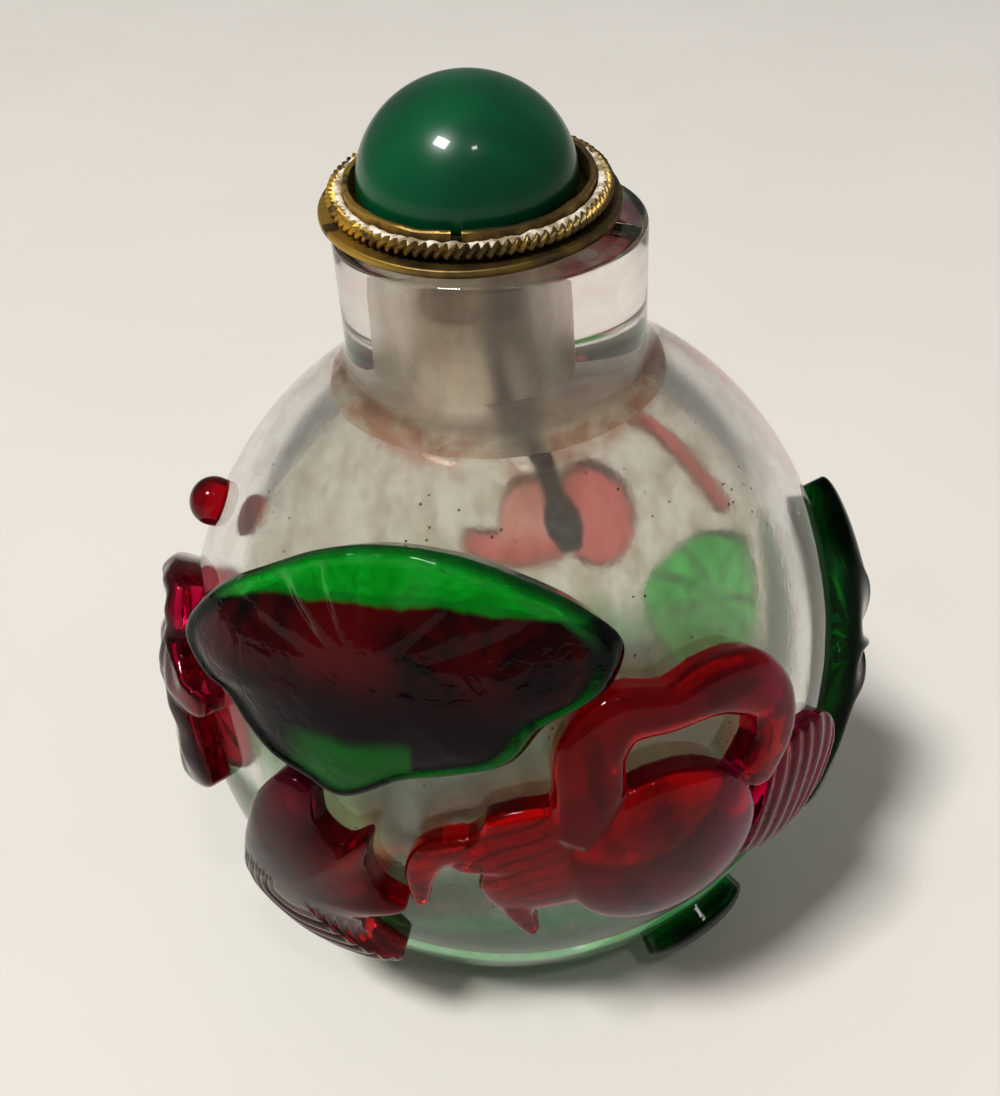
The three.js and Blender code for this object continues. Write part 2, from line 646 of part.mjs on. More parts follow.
// The domed stone: a short girdle and a dome
function domeGeometry() {
  const profile = [
    [0, ON_DISC],
    [DOME_RADIUS - DOME_GIRDLE, ON_DISC],
    [DOME_RADIUS, ON_DISC + DOME_GIRDLE],
  ];
  const steps = 7;
  for (let i = 1; i < steps; i += 1) {
    const lift = (0.5 * Math.PI * i) / steps;
    profile.push([DOME_RADIUS * Math.cos(lift), ON_DISC + DOME_GIRDLE + DOME_RISE * Math.sin(lift)]);
  }
  profile.push([0, ON_DISC + DOME_GIRDLE + DOME_RISE]);
  return turned(profile, 32);
}

// The cork, below the disc
function corkGeometry() {
  const radius = BORE_RADIUS - CORK_CLEARANCE;
  return turned([
    [0, -GAP],
    [radius, -GAP],
    [radius - CORK_TAPER, -GAP - CORK_LENGTH],
    [0, -GAP - CORK_LENGTH],
  ], 20);
}

// The spoon: a slim stem that widens to a bowl at its lower end, hanging along -Z
function spoonGeometry() {
  const sections = 12;
  const sides = 8;
  const rings = [];
  for (let i = 0; i <= sections; i += 1) {
    const share = i / sections;
    const intoBowl = Math.max(0, (share - 1 + SPOON_BOWL_SHARE) / SPOON_BOWL_SHARE);
    const swell = Math.sin(Math.PI * Math.min(SPOON_TIP_SHARE, intoBowl));
    const halfWidth = 0.5 * THREE.MathUtils.lerp(SPOON_STEM_WIDTH, SPOON_BOWL_WIDTH, swell);
    rings.push(ringAround(sides, (angle) => new THREE.Vector3(
      halfWidth * Math.cos(angle),
      0.5 * SPOON_THICKNESS * Math.sin(angle),
      -share * SPOON_LENGTH,
    )));
  }
  return solidFromRings(middleOf(rings[0]), rings, middleOf(rings[sections]));
}

// Putting the object together
const bottle = new THREE.Group();

function addPiece(name, geometry, finish, parent = bottle) {
  const material = new THREE.MeshStandardMaterial(finish);
  const mesh = new THREE.Mesh(geometry, material);
  mesh.name = name;
  parent.add(mesh);
  return mesh;
}

addPiece('bottle', bottleGeometry(), CLEAR);
addPiece('foot_ring', footGeometry(), GREEN);
addPiece('lotus_leaf_front', leafLump(0), GREEN);
addPiece('ruby_bird', birdGeometry(), RUBY);
addPiece('ruby_ribbed_leaf', ribbedLeafGeometry(), RUBY);
addPiece('ruby_flower_left', flowerGeometry(), RUBY);
addPiece('ruby_bud', budGeometry(), RUBY);
addPiece('lotus_leaf_right', sideLeafGeometry(), GREEN);
addPiece('green_leaf_by_foot', footLeafGeometry(), GREEN);
addPiece('ruby_flower_back', backFlowerGeometry(), RUBY);
addPiece('ruby_slim_petal_back', slimPetalGeometry(), RUBY);
addPiece('green_leaf_back', backLeafGeometry(), GREEN);
addPiece('green_leaf_back_left', backLeftLeafGeometry(), GREEN);

// The stopper's front edge comes down to a gap above the rim
const stopper = new THREE.Group();
const tipDrop = DISC_RADIUS * Math.sin(STOPPER_TIP);
stopper.position.set(STOPPER_SHIFT_X, STOPPER_SHIFT_Y, RIM_HEIGHT + GAP + tipDrop);
stopper.rotation.x = STOPPER_TIP;
bottle.add(stopper);
addPiece('stopper_disc', discGeometry(), BRASS, stopper);
addPiece('stopper_strip', stripGeometry(), BRASS, stopper);
addPiece('stopper_twisted_wire', wireGeometry(), BRASS, stopper);
const dome = addPiece('stopper_dome', domeGeometry(), STONE, stopper);
dome.position.set(DOME_SHIFT_X, DOME_SHIFT_Y, 0);

// The cork's middle is on the axis of the bore
const cork = addPiece('stopper_cork', corkGeometry(), CORK, stopper);
const corkMiddle = new THREE.Vector3(0, 0, -GAP - 0.5 * CORK_LENGTH);
const boreSide = new THREE.Vector3(BORE_SHIFT - STOPPER_SHIFT_X, -STOPPER_SHIFT_Y, 0);
const tippedMiddle = corkMiddle.clone().applyEuler(stopper.rotation);
cork.position.set(boreSide.x, (boreSide.y - tippedMiddle.y) / Math.cos(STOPPER_TIP), 0);

// The spoon hangs from the cork's underside, near the back of the bore, and leans to the right
const spoon = addPiece('stopper_spoon', spoonGeometry(), SPOON);
const corkFoot = RIM_HEIGHT + GAP + tipDrop - GAP - CORK_LENGTH;
spoon.position.set(BORE_SHIFT + SPOON_SET_RIGHT, SPOON_SET_BACK, corkFoot - 2 * GAP);
spoon.rotation.y = -SPOON_LEAN;

export default bottle;
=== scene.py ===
"""Looks of a small overlay glass bottle: clear glass, carved ruby and green overlay, a domed stone stopper.

All shapes are worked out in millimetres on the bottle's own wall and turned to metres at the end.
"""

from __future__ import annotations

import logging
import math
from dataclasses import dataclass, field
from enum import Enum
from typing import Callable, Sequence

import bpy
import numpy as np
from mathutils import Matrix, Vector

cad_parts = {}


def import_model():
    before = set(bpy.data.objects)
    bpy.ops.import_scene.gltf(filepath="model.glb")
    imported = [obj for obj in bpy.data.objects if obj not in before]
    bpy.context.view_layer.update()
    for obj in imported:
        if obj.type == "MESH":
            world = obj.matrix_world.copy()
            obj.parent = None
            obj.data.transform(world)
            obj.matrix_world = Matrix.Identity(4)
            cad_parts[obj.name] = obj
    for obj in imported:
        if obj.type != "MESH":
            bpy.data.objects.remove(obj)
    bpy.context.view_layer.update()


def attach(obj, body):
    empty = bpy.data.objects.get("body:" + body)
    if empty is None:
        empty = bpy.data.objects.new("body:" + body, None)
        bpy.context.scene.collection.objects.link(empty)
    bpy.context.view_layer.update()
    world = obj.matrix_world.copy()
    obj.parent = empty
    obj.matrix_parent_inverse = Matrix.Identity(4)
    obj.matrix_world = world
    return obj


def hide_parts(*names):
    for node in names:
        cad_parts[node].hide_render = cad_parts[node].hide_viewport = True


LOG = logging.getLogger("bottle")
BODY = "root"
MM = 0.001

# The bottle's wall: half-axes of its outside and the height of its widest level
HALF_WIDTH = 22.4
HALF_DEPTH = 16.8
HALF_HEIGHT = 27.8
LEVEL = 25.0

# Overlay lumps: clearance of the solids, how deep a lump is fused into the wall, upright share of its edge
GAP = 0.3
FUSED = 0.08
EDGE_SHARE = 0.5

# Shares of a lump's upright edge and of its hidden base at which its rings lie
EDGE_STEPS = (0.25, 0.5, 0.75)
BASE_STEPS = (1.0, 0.8, 0.6, 0.4, 0.2)

# Face size and rounds of smoothing where several lumps are melted into one skin
MELT_VOXEL = 0.16
MELT_ROUNDS = 3

# Steps between two knots of a curve, and the greatest angle between faces that is shaded as one surface
CURVE_STEPS = 40
SMOOTH_ANGLE = math.radians(42)

GLASS_IOR = 1.5

Colour = tuple[float, float, float]
Span = tuple[float, float]
Height = Callable[[np.ndarray, np.ndarray], np.ndarray]
Knots = Sequence[Sequence[float]]


class Slot(Enum):
    """The material slots of the record."""

    CLEAR = "clear_glass"
    GREEN = "green_glass"
    LEAF = "leaf_glass"
    RUBY = "ruby_glass"
    STONE = "green_stone"
    BRASS = "gilt_brass"
    CORK = "cork"
    BONE = "spoon_bone"


def smooth(low: float, high: float, value: np.ndarray) -> np.ndarray:
    """Rise smoothly from 0 to 1.

    Args:
        low: where the rise starts.
        high: where it ends.
        value: what is measured.

    Returns:
        The share of the rise at each value.
    """
    share = np.clip((value - low) / (high - low), 0.0, 1.0)
    return share * share * (3.0 - 2.0 * share)


@dataclass(frozen=True)
class Wall:
    """The bottle's outer wall as an ellipsoid, with places given by bearing and latitude in degrees."""

    half: tuple[float, float, float] = (HALF_WIDTH, HALF_DEPTH, HALF_HEIGHT)
    level: float = LEVEL
    rounds: int = 6

    def point(self, bearing: np.ndarray, latitude: np.ndarray, out: np.ndarray) -> np.ndarray:
        """Find points on or off the wall.

        Args:
            bearing: degrees from the front towards the right.
            latitude: degrees above the widest level.
            out: distance out from the glass.

        Returns:
            The points, with x, y and z along the last axis.
        """
        turn, lift = np.radians(bearing), np.radians(latitude)
        foot = np.stack([
            self.half[0] * np.cos(lift) * np.sin(turn),
            -self.half[1] * np.cos(lift) * np.cos(turn),
            self.half[2] * np.sin(lift),
        ], axis=-1)
        normal = foot / np.square(self.half)
        normal /= np.linalg.norm(normal, axis=-1, keepdims=True)
        return foot + normal * np.asarray(out)[..., None] + np.array([0.0, 0.0, self.level])

    def scale(self, bearing: np.ndarray, latitude: np.ndarray) -> tuple[np.ndarray, np.ndarray]:
        """Measure how long a degree is on the wall.

        Args:
            bearing: degrees from the front towards the right.
            latitude: degrees above the widest level.

        Returns:
            The millimetres for one degree of bearing and for one of latitude.
        """
        nothing = np.zeros_like(bearing)
        here = self.point(bearing, latitude, nothing)
        across = np.linalg.norm(self.point(bearing + 1, latitude, nothing) - here, axis=-1)
        rise = np.linalg.norm(self.point(bearing, latitude + 1, nothing) - here, axis=-1)
        return across, rise

    def locate(self, points: np.ndarray) -> tuple[np.ndarray, np.ndarray, np.ndarray]:
        """Find bearing, latitude and distance out of points near the wall.

        Args:
            points: points in millimetres, shape (count, 3).

        Returns:
            Bearings and latitudes in degrees, and distances out from the glass.
        """
        half = np.array(self.half)
        local = points - np.array([0.0, 0.0, self.level])
        foot = local / np.linalg.norm(local / half, axis=1, keepdims=True)
        for _ in range(self.rounds):
            normal = foot / half**2
            normal /= np.linalg.norm(normal, axis=1, keepdims=True)
            out = ((local - foot) * normal).sum(1, keepdims=True)
            foot = local - out * normal
            foot /= np.linalg.norm(foot / half, axis=1, keepdims=True)
        bearing = np.degrees(np.arctan2(foot[:, 0] / half[0], -foot[:, 1] / half[1]))
        latitude = np.degrees(np.arcsin(np.clip(foot[:, 2] / half[2], -1.0, 1.0)))
        return bearing, latitude, out[:, 0]


WALL = Wall()


def curve_through(knots: Knots, samples: int, closed: bool) -> np.ndarray:
    """Draw a smooth curve through a few knots, at even steps along it.

    Args:
        knots: the points to pass through.
        samples: how many points to return.
        closed: whether the curve comes back to its start.

    Returns:
        Points on the curve, shape (samples, dimensions).
    """
    given = np.array(knots, float)
    if closed:
        padded = np.vstack([given[-1], given, given[0], given[1]])
    else:
        padded = np.vstack([2 * given[0] - given[1], given, 2 * given[-1] - given[-2]])
    fine = []
    share = np.linspace(0.0, 1.0, CURVE_STEPS, endpoint=False)[:, None]
    for p0, p1, p2, p3 in zip(padded, padded[1:], padded[2:], padded[3:]):
        d1, d2, d3 = (math.sqrt(np.linalg.norm(b - a)) for a, b in ((p0, p1), (p1, p2), (p2, p3)))
        into = (p1 - p0) / d1 - (p2 - p0) / (d1 + d2) + (p2 - p1) / d2
        away = (p2 - p1) / d2 - (p3 - p1) / (d2 + d3) + (p3 - p2) / d3
        m1, m2 = into * d2, away * d2
        cubic = (2 * share**3 - 3 * share**2 + 1) * p1 + (share**3 - 2 * share**2 + share) * m1
        fine.append(cubic + (3 * share**2 - 2 * share**3) * p2 + (share**3 - share**2) * m2)
    line = np.vstack(fine + [given[:1] if closed else given[-1:]])
    length = np.concatenate([[0.0], np.cumsum(np.linalg.norm(np.diff(line, axis=0), axis=1))])
    wanted = np.linspace(0.0, length[-1], samples, endpoint=not closed)
    return np.stack([np.interp(wanted, length, line[:, k]) for k in range(given.shape[1])], axis=1)


def oval(centre: Sequence[float], half: Sequence[float], samples: int) -> np.ndarray:
    """Draw an oval round a centre.

    Args:
        centre: its bearing and latitude in degrees.
        half: its half-axes in degrees.
        samples: how many points to return.

    Returns:
        Bearings and latitudes, shape (samples, 2).
    """
    angle = np.linspace(0.0, 2 * math.pi, samples, endpoint=False)
    return np.stack([centre[0] + half[0] * np.cos(angle), centre[1] + half[1] * np.sin(angle)], axis=1)


def deselect_all() -> None:
    """Leave object mode with nothing selected."""
    if bpy.context.object is not None and bpy.context.object.mode != "OBJECT":
        bpy.ops.object.mode_set(mode="OBJECT")
    bpy.ops.object.select_all(action="DESELECT")


def pick(piece: bpy.types.Object) -> None:
    """Select one piece alone and make it active.

    Args:
        piece: the piece.
    """
    deselect_all()
    piece.select_set(True)
    bpy.context.view_layer.objects.active = piece


def points_of(piece: bpy.types.Object) -> np.ndarray:
    """Read a piece's points.

    Args:
        piece: the piece.

    Returns:
        Its points, shape (count, 3).
    """
    flat = np.empty(len(piece.data.vertices) * 3, np.float32)
    piece.data.vertices.foreach_get("co", flat)
    return flat.reshape(-1, 3).astype(float)


def move_points(piece: bpy.types.Object, points: np.ndarray) -> None:
    """Put a piece's points in new places."""
    piece.data.vertices.foreach_set("co", points.astype(np.float32).ravel())
    piece.data.update()


def face_outwards(piece: bpy.types.Object) -> None:
    """Turn all faces of a closed piece over if they point inwards.

    Args:
        piece: the closed piece.
    """
    mesh = piece.data
    mesh.calc_loop_triangles()
    corners = np.empty(len(mesh.loop_triangles) * 3, np.int32)
    mesh.loop_triangles.foreach_get("vertices", corners)
    a, b, c = points_of(piece)[corners.reshape(-1, 3)].transpose(1, 0, 2)
    if np.einsum("ij,ij->i", a, np.cross(b, c)).sum() < 0:
        pick(piece)
        bpy.ops.object.mode_set(mode="EDIT")
        bpy.ops.mesh.select_all(action="SELECT")
        bpy.ops.mesh.flip_normals()
        bpy.ops.object.mode_set(mode="OBJECT")


def shell_from_rings(name: str, rings: np.ndarray, start: np.ndarray, end: np.ndarray) -> bpy.types.Object:
    """Make a closed piece from a sphere whose levels are moved onto rings.

    Args:
        name: the piece's name.
        rings: points in millimetres, shape (levels, around, 3).
        start: the point that closes the first ring.
        end: the point that closes the last one.

    Returns:
        The piece, in millimetres, with its level kept as the attribute "level".
    """
    levels, around, _ = rings.shape
    deselect_all()
    bpy.ops.mesh.primitive_uv_sphere_add(segments=around, ring_count=levels + 1, radius=1.0)
    piece = bpy.context.object
    piece.name = name
    piece.data.name = name
    ball = points_of(piece)
    level = np.rint(np.arccos(np.clip(ball[:, 2], -1, 1)) * (levels + 1) / math.pi).astype(int)
    step = 2 * math.pi / around
    turn = np.arctan2(ball[:, 1], ball[:, 0])

    # The sphere's first meridian, looked for a quarter step aside so that it can't wrap round
    inner = (level > 0) & (level <= levels)
    offset = np.median(np.mod(turn[inner] + 0.25 * step, step)) - 0.25 * step
    slot = np.rint((turn - offset) / step).astype(int) % around
    placed = rings[np.clip(level - 1, 0, levels - 1), slot]
    placed[level == 0] = start
    placed[level == levels + 1] = end
    move_points(piece, placed)
    kept = piece.data.attributes.new("level", "INT", "POINT")
    kept.data.foreach_set("value", level.astype(np.int32))
    face_outwards(piece)
    return piece


def hoop_from_sections(name: str, sections: np.ndarray) -> bpy.types.Object:
    """Make a closed ring from a torus whose sections are moved.

    Args:
        name: the piece's name.
        sections: points in millimetres, shape (sections round the ring, points round each, 3).

    Returns:
        The piece, in millimetres.
    """
    major, minor, _ = sections.shape
    deselect_all()
    bpy.ops.mesh.primitive_torus_add(
        major_segments=major, minor_segments=minor, major_radius=1.0, minor_radius=0.25
    )
    piece = bpy.context.object
    piece.name = name
    piece.data.name = name
    ring = points_of(piece)
    around = np.arctan2(ring[:, 1], ring[:, 0])
    turn = np.arctan2(ring[:, 2], np.hypot(ring[:, 0], ring[:, 1]) - 1.0)
    first = np.rint(around * major / (2 * math.pi)).astype(int) % major
    second = np.rint(turn * minor / (2 * math.pi)).astype(int) % minor
    move_points(piece, sections[first, second])
    face_outwards(piece)
    return piece


def levels_of(piece: bpy.types.Object) -> np.ndarray:
    """Read the ring number that each point was given.

    Args:
        piece: a piece made by shell_from_rings.

    Returns:
        The numbers, from 0 at the start point.
    """
    level = np.empty(len(piece.data.vertices), np.int32)
    piece.data.attributes["level"].data.foreach_get("value", level)
    return level


def join(pieces: Sequence[bpy.types.Object]) -> bpy.types.Object:
    """Join pieces into the first of them.

    Args:
        pieces: the pieces, the one to keep first.

    Returns:
        The first piece, with all their faces.
    """
    deselect_all()
    for piece in pieces:
        piece.select_set(True)
    bpy.context.view_layer.objects.active = pieces[0]
    bpy.ops.object.join()
    return pieces[0]


def melt_together(piece: bpy.types.Object) -> None:
    """Fuse the overlapping parts of a piece into one skin and soften it.

    Args:
        piece: the piece, in millimetres.
    """
    pick(piece)
    fused = piece.modifiers.new("fused", "REMESH")
    fused.mode = "VOXEL"
    fused.voxel_size = MELT_VOXEL
    bpy.ops.object.modifier_apply(modifier=fused.name)
    soft = piece.modifiers.new("soft", "SMOOTH")
    soft.factor = 0.5
    soft.iterations = MELT_ROUNDS
    bpy.ops.object.modifier_apply(modifier=soft.name)
    face_outwards(piece)


def note(piece: bpy.types.Object, name: str, values: np.ndarray) -> None:
    """Keep one number for each point of a piece as an attribute for its material."""
    attribute = piece.data.attributes.get(name) or piece.data.attributes.new(name, "FLOAT", "POINT")
    attribute.data.foreach_set("value", values.astype(np.float32))


def finish_piece(
    piece: bpy.types.Object, materials: Sequence[bpy.types.Material], nodes: Sequence[str]
) -> None:
    """Turn a piece to metres, dress it and tie it to the frame.

    Args:
        piece: the piece, in millimetres.
        materials: its materials, in slot order.
        nodes: the CAD nodes that it stands for.
    """
    piece.data.transform(Matrix.Scale(MM, 4))
    pick(piece)
    bpy.ops.object.shade_smooth_by_angle(angle=SMOOTH_ANGLE)
    piece.data.materials.clear()
    for material in materials:
        piece.data.materials.append(material)
    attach(piece, BODY)
    if nodes:
        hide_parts(*nodes)
    LOG.info("%s: %d faces", piece.name, len(piece.data.polygons))


class Shader:
    """A material's nodes while they are being joined up.

    A value given to a method is a number, a colour or a socket.
    """

    def __init__(self, name: str) -> None:
        """Start with a principled surface and object coordinates.

        Args:
            name: the material's name.
        """
        self.material = bpy.data.materials.new(name)
        self.material.use_nodes = True
        self.tree = self.material.node_tree
        self.surface = self.tree.nodes["Principled BSDF"]
        self.place = self.tree.nodes.new("ShaderNodeTexCoord").outputs["Object"]

    def put(self, socket: bpy.types.NodeSocket, value: object) -> None:
        """Link a socket or set its value.

        Args:
            socket: the input to fill.
            value: what goes into it.
        """
        if isinstance(value, bpy.types.NodeSocket):
            self.tree.links.new(value, socket)
        elif isinstance(value, tuple) and len(value) == 3 and socket.type == "RGBA":
            socket.default_value = (*value, 1.0)
        else:
            socket.default_value = value

    def set(self, **values: object) -> None:
        """Set the surface's sockets, named with underscores for spaces."""
        for name, value in values.items():
            self.put(self.surface.inputs[name.replace("_", " ")], value)

    def attribute(self, name: str) -> bpy.types.NodeSocket:
        """Read a number kept on the points.

        Args:
            name: the attribute's name.

        Returns:
            The number.
        """
        node = self.tree.nodes.new("ShaderNodeAttribute")
        node.attribute_name = name
        return node.outputs["Fac"]

    def axis(self, letter: str) -> bpy.types.NodeSocket:
        """Read one object coordinate.

        Args:
            letter: X, Y or Z.

        Returns:
            The coordinate in metres.
        """
        node = self.tree.nodes.new("ShaderNodeSeparateXYZ")
        self.put(node.inputs[0], self.place)
        return node.outputs[letter]

    def reach(self) -> bpy.types.NodeSocket:
        """Read the distance from the bottle's axis.

        Returns:
            The distance in metres.
        """
        flat = self.tree.nodes.new("ShaderNodeCombineXYZ")
        self.put(flat.inputs[0], self.axis("X"))
        self.put(flat.inputs[1], self.axis("Y"))
        length = self.tree.nodes.new("ShaderNodeVectorMath")
        length.operation = "LENGTH"
        self.put(length.inputs[0], flat.outputs[0])
        return length.outputs["Value"]

    def noise(self, size_mm: float, detail: float = 3.0, warp: float = 0.0) -> bpy.types.NodeSocket:
        """Make cloudy noise.

        Args:
            size_mm: size of its features.
            detail: how fine it goes.
            warp: how far it is distorted.

        Returns:
            The noise, about 0.5 in the middle.
        """
        node = self.tree.nodes.new("ShaderNodeTexNoise")
        self.put(node.inputs["Vector"], self.place)
        node.inputs["Scale"].default_value = 1.0 / (size_mm * MM)
        node.inputs["Detail"].default_value = detail
        node.inputs["Distortion"].default_value = warp
        return node.outputs["Fac"]

    def stretched(self, size_mm: tuple[float, float, float], detail: float = 3.0) -> bpy.types.NodeSocket:
        """Make cloudy noise with a size of its own along each axis.

        Args:
            size_mm: size of its features along X, Y and Z.
            detail: how fine it goes.

        Returns:
            The noise, about 0.5 in the middle.
        """
        mapping = self.tree.nodes.new("ShaderNodeMapping")
        self.put(mapping.inputs["Vector"], self.place)
        mapping.inputs["Scale"].default_value = [1.0 / (size * MM) for size in size_mm]
        node = self.tree.nodes.new("ShaderNodeTexNoise")
        self.put(node.inputs["Vector"], mapping.outputs[0])
        node.inputs["Scale"].default_value = 1.0
        node.inputs["Detail"].default_value = detail
        return node.outputs["Fac"]

    def cells(self, size_mm: float) -> bpy.types.NodeSocket:
        """Measure how far the nearest of many scattered points is.

        Args:
            size_mm: how far the points are apart.

        Returns:
            The distance, in that size.
        """
        node = self.tree.nodes.new("ShaderNodeTexVoronoi")
        self.put(node.inputs["Vector"], self.place)
        node.inputs["Scale"].default_value = 1.0 / (size_mm * MM)
        return node.outputs["Distance"]

    def rise(self, value: object, low: float, high: float) -> bpy.types.NodeSocket:
        """Rise smoothly from 0 to 1, or fall where high is below low.

        Args:
            value: what is measured.
            low: where the share is 0.
            high: where it is 1.

        Returns:
            The share.
        """
        node = self.tree.nodes.new("ShaderNodeMapRange")
        node.interpolation_type = "SMOOTHSTEP"
        falls = high < low
        self.put(node.inputs["Value"], value)
        node.inputs["From Min"].default_value = high if falls else low
        node.inputs["From Max"].default_value = low if falls else high
        node.inputs["To Min"].default_value = 1.0 if falls else 0.0
        node.inputs["To Max"].default_value = 0.0 if falls else 1.0
        return node.outputs["Result"]

    def rise_mm(self, value: object, span: Span) -> bpy.types.NodeSocket:
        """Rise from 0 to 1 over a span in millimetres of a value in metres."""
        return self.rise(value, span[0] * MM, span[1] * MM)

    def maths(self, operation: str, first: object, second: object) -> bpy.types.NodeSocket:
        """Combine two numbers.

        Args:
            operation: the operation's name.
            first: the first number.
            second: the second number.

        Returns:
            The result.
        """
        node = self.tree.nodes.new("ShaderNodeMath")
        node.operation = operation
        self.put(node.inputs[0], first)
        self.put(node.inputs[1], second)
        return node.outputs[0]

    def product(self, *values: object) -> bpy.types.NodeSocket:
        """Multiply several numbers.

        Args:
            values: the numbers, at least two.

        Returns:
            Their product.
        """
        total = values[0]
        for value in values[1:]:
            total = self.maths("MULTIPLY", total, value)
        return total

    def mix(self, share: object, first: object, second: object) -> bpy.types.NodeSocket:
        """Mix two colours.

        Args:
            share: the share of the second.
            first: the colour where the share is 0.
            second: the colour where it is 1.

        Returns:
            The mixed colour.
        """
        node = self.tree.nodes.new("ShaderNodeMix")
        node.data_type = "RGBA"
        self.put(node.inputs["Factor"], share)
        self.put(node.inputs[6], first)
        self.put(node.inputs[7], second)
        return node.outputs[2]

    def ramp(self, value: object, stops: Sequence[tuple[float, Colour]]) -> bpy.types.NodeSocket:
        """Look a colour up along a few stops.

        Args:
            value: what is looked up.
            stops: places from 0 to 1, each with its colour.

        Returns:
            The colour.
        """
        node = self.tree.nodes.new("ShaderNodeValToRGB")
        self.put(node.inputs["Fac"], value)
        elements = node.color_ramp.elements
        while len(elements) < len(stops):
            elements.new(0.5)
        for element, (position, colour) in zip(elements, stops):
            element.position = position
            element.color = (*colour, 1.0)
        return node.outputs["Color"]

    def roughen(self, least: float, pattern: object, more: float) -> None:
        """Set a roughness that a pattern of 0 to 1 raises above its least."""
        self.set(Roughness=self.maths("ADD", least, self.product(pattern, more)))

    def bump(self, height: object, distance_mm: float, strength: float) -> None:
        """Raise the surface a little.

        Args:
            height: a pattern of 0 to 1.
            distance_mm: the height that 1 stands for.
            strength: how strongly it shows.
        """
        node = self.tree.nodes.new("ShaderNodeBump")
        node.inputs["Strength"].default_value = strength
        node.inputs["Distance"].default_value = distance_mm * MM
        self.put(node.inputs["Height"], height)
        self.tree.links.new(node.outputs["Normal"], self.surface.inputs["Normal"])


@dataclass(frozen=True)
class ClearGlass:
    """The bottle's polished outside: clear, faintly wavy, stained at the neck, with painted green light low
    down and up its left side for green glass seen through the wall.

    Spans are in millimetres from where a stain or the painted green starts to where it is full. Cloud spans
    are shares of noise.
    """

    tint: Colour = (0.975, 0.97, 0.94)
    stain: Colour = (0.60, 0.33, 0.27)
    rim_stain: Colour = (0.80, 0.22, 0.24)
    # Painted green light: the colour of green overlay glass seen through the wall, laid on this glass
    refracted_green: Colour = (0.09, 0.44, 0.15)
    speck: Colour = (0.05, 0.04, 0.03)
    neck_inner: Span = (8.9, 9.2)
    neck_outer: Span = (10.7, 9.8)
    neck_height: Span = (40.0, 44.0)
    neck_clouds: Span = (0.34, 0.60)
    rim_height: Span = (58.0, 58.2)
    rim_reach: Span = (6.4, 7.2)
    rim_side: Span = (1.0, 4.0)
    rim_clouds: Span = (0.36, 0.50)
    cast_top: Span = (22.2, 19.0)
    cast_waves: float = 6.0
    cast_streaks: Span = (0.08, 0.48)
    left_cast_side: Span = (-14.0, -16.5)
    left_cast_foot: Span = (9.5, 12.5)
    left_cast_top: Span = (23.5, 20.0)
    speck_spacing: float = 0.8
    speck_size: Span = (0.13, 0.08)
    speck_clouds: Span = (0.48, 0.54)
    speck_top: Span = (49.0, 46.0)

    def stained(self, shader: Shader, clouds: bpy.types.NodeSocket) -> bpy.types.NodeSocket:
        """Colour the glass with the brown stain round the neck's foot and the red one on the rim.

        Args:
            shader: the material's nodes.
            clouds: noise that breaks the stains up.

        Returns:
            The colour.
        """
        reach, height = shader.reach(), shader.axis("Z")
        neck = shader.product(
            shader.rise_mm(reach, self.neck_inner), shader.rise_mm(reach, self.neck_outer),
            shader.rise_mm(height, self.neck_height), shader.rise(clouds, *self.neck_clouds),
        )
        rim = shader.product(
            shader.rise_mm(height, self.rim_height), shader.rise_mm(reach, self.rim_reach),
            shader.rise_mm(shader.axis("X"), self.rim_side), shader.rise(clouds, *self.rim_clouds),
        )
        return shader.mix(rim, shader.mix(neck, self.tint, self.stain), self.rim_stain)

    def cast(self, shader: Shader) -> bpy.types.NodeSocket:
        """Find where green light is painted on the glass, for green glass seen through the wall: low down,
        and up its left side.

        Args:
            shader: the material's nodes.

        Returns:
            The share of green.
        """
        height = shader.axis("Z")
        streaks = shader.stretched((1.5, 1.5, 5.0), 4.0)
        wavy = shader.maths("ADD", height, shader.product(streaks, self.cast_waves * MM))
        left = shader.product(
            shader.rise_mm(shader.axis("X"), self.left_cast_side),
            shader.rise_mm(height, self.left_cast_foot), shader.rise_mm(height, self.left_cast_top),
        )
        green = shader.maths("MAXIMUM", shader.rise_mm(wavy, self.cast_top), left)
        return shader.product(green, shader.rise(streaks, *self.cast_streaks))

    def make(self) -> bpy.types.Material:
        """Join up the material.

        Returns:
            The material.
        """
        shader = Shader("clear_glass_outside")
        clouds = shader.noise(2.4, 4.0, 0.6)
        # The green share is painted light, for green glass seen through the wall
        colour = shader.mix(self.cast(shader), self.stained(shader, clouds), self.refracted_green)
        specks = shader.product(
            shader.rise(shader.cells(self.speck_spacing), *self.speck_size),
            shader.rise(shader.noise(4.0), *self.speck_clouds),
            shader.rise_mm(shader.axis("Z"), self.speck_top),
        )
        shader.set(Base_Color=shader.mix(specks, colour, self.speck))
        shader.set(Transmission_Weight=1.0, IOR=GLASS_IOR)
        shader.roughen(0.015, shader.rise(clouds, 0.5, 0.8), 0.04)
        shader.bump(shader.noise(7.0, 2.0), 0.06, 0.4)
        return shader.material


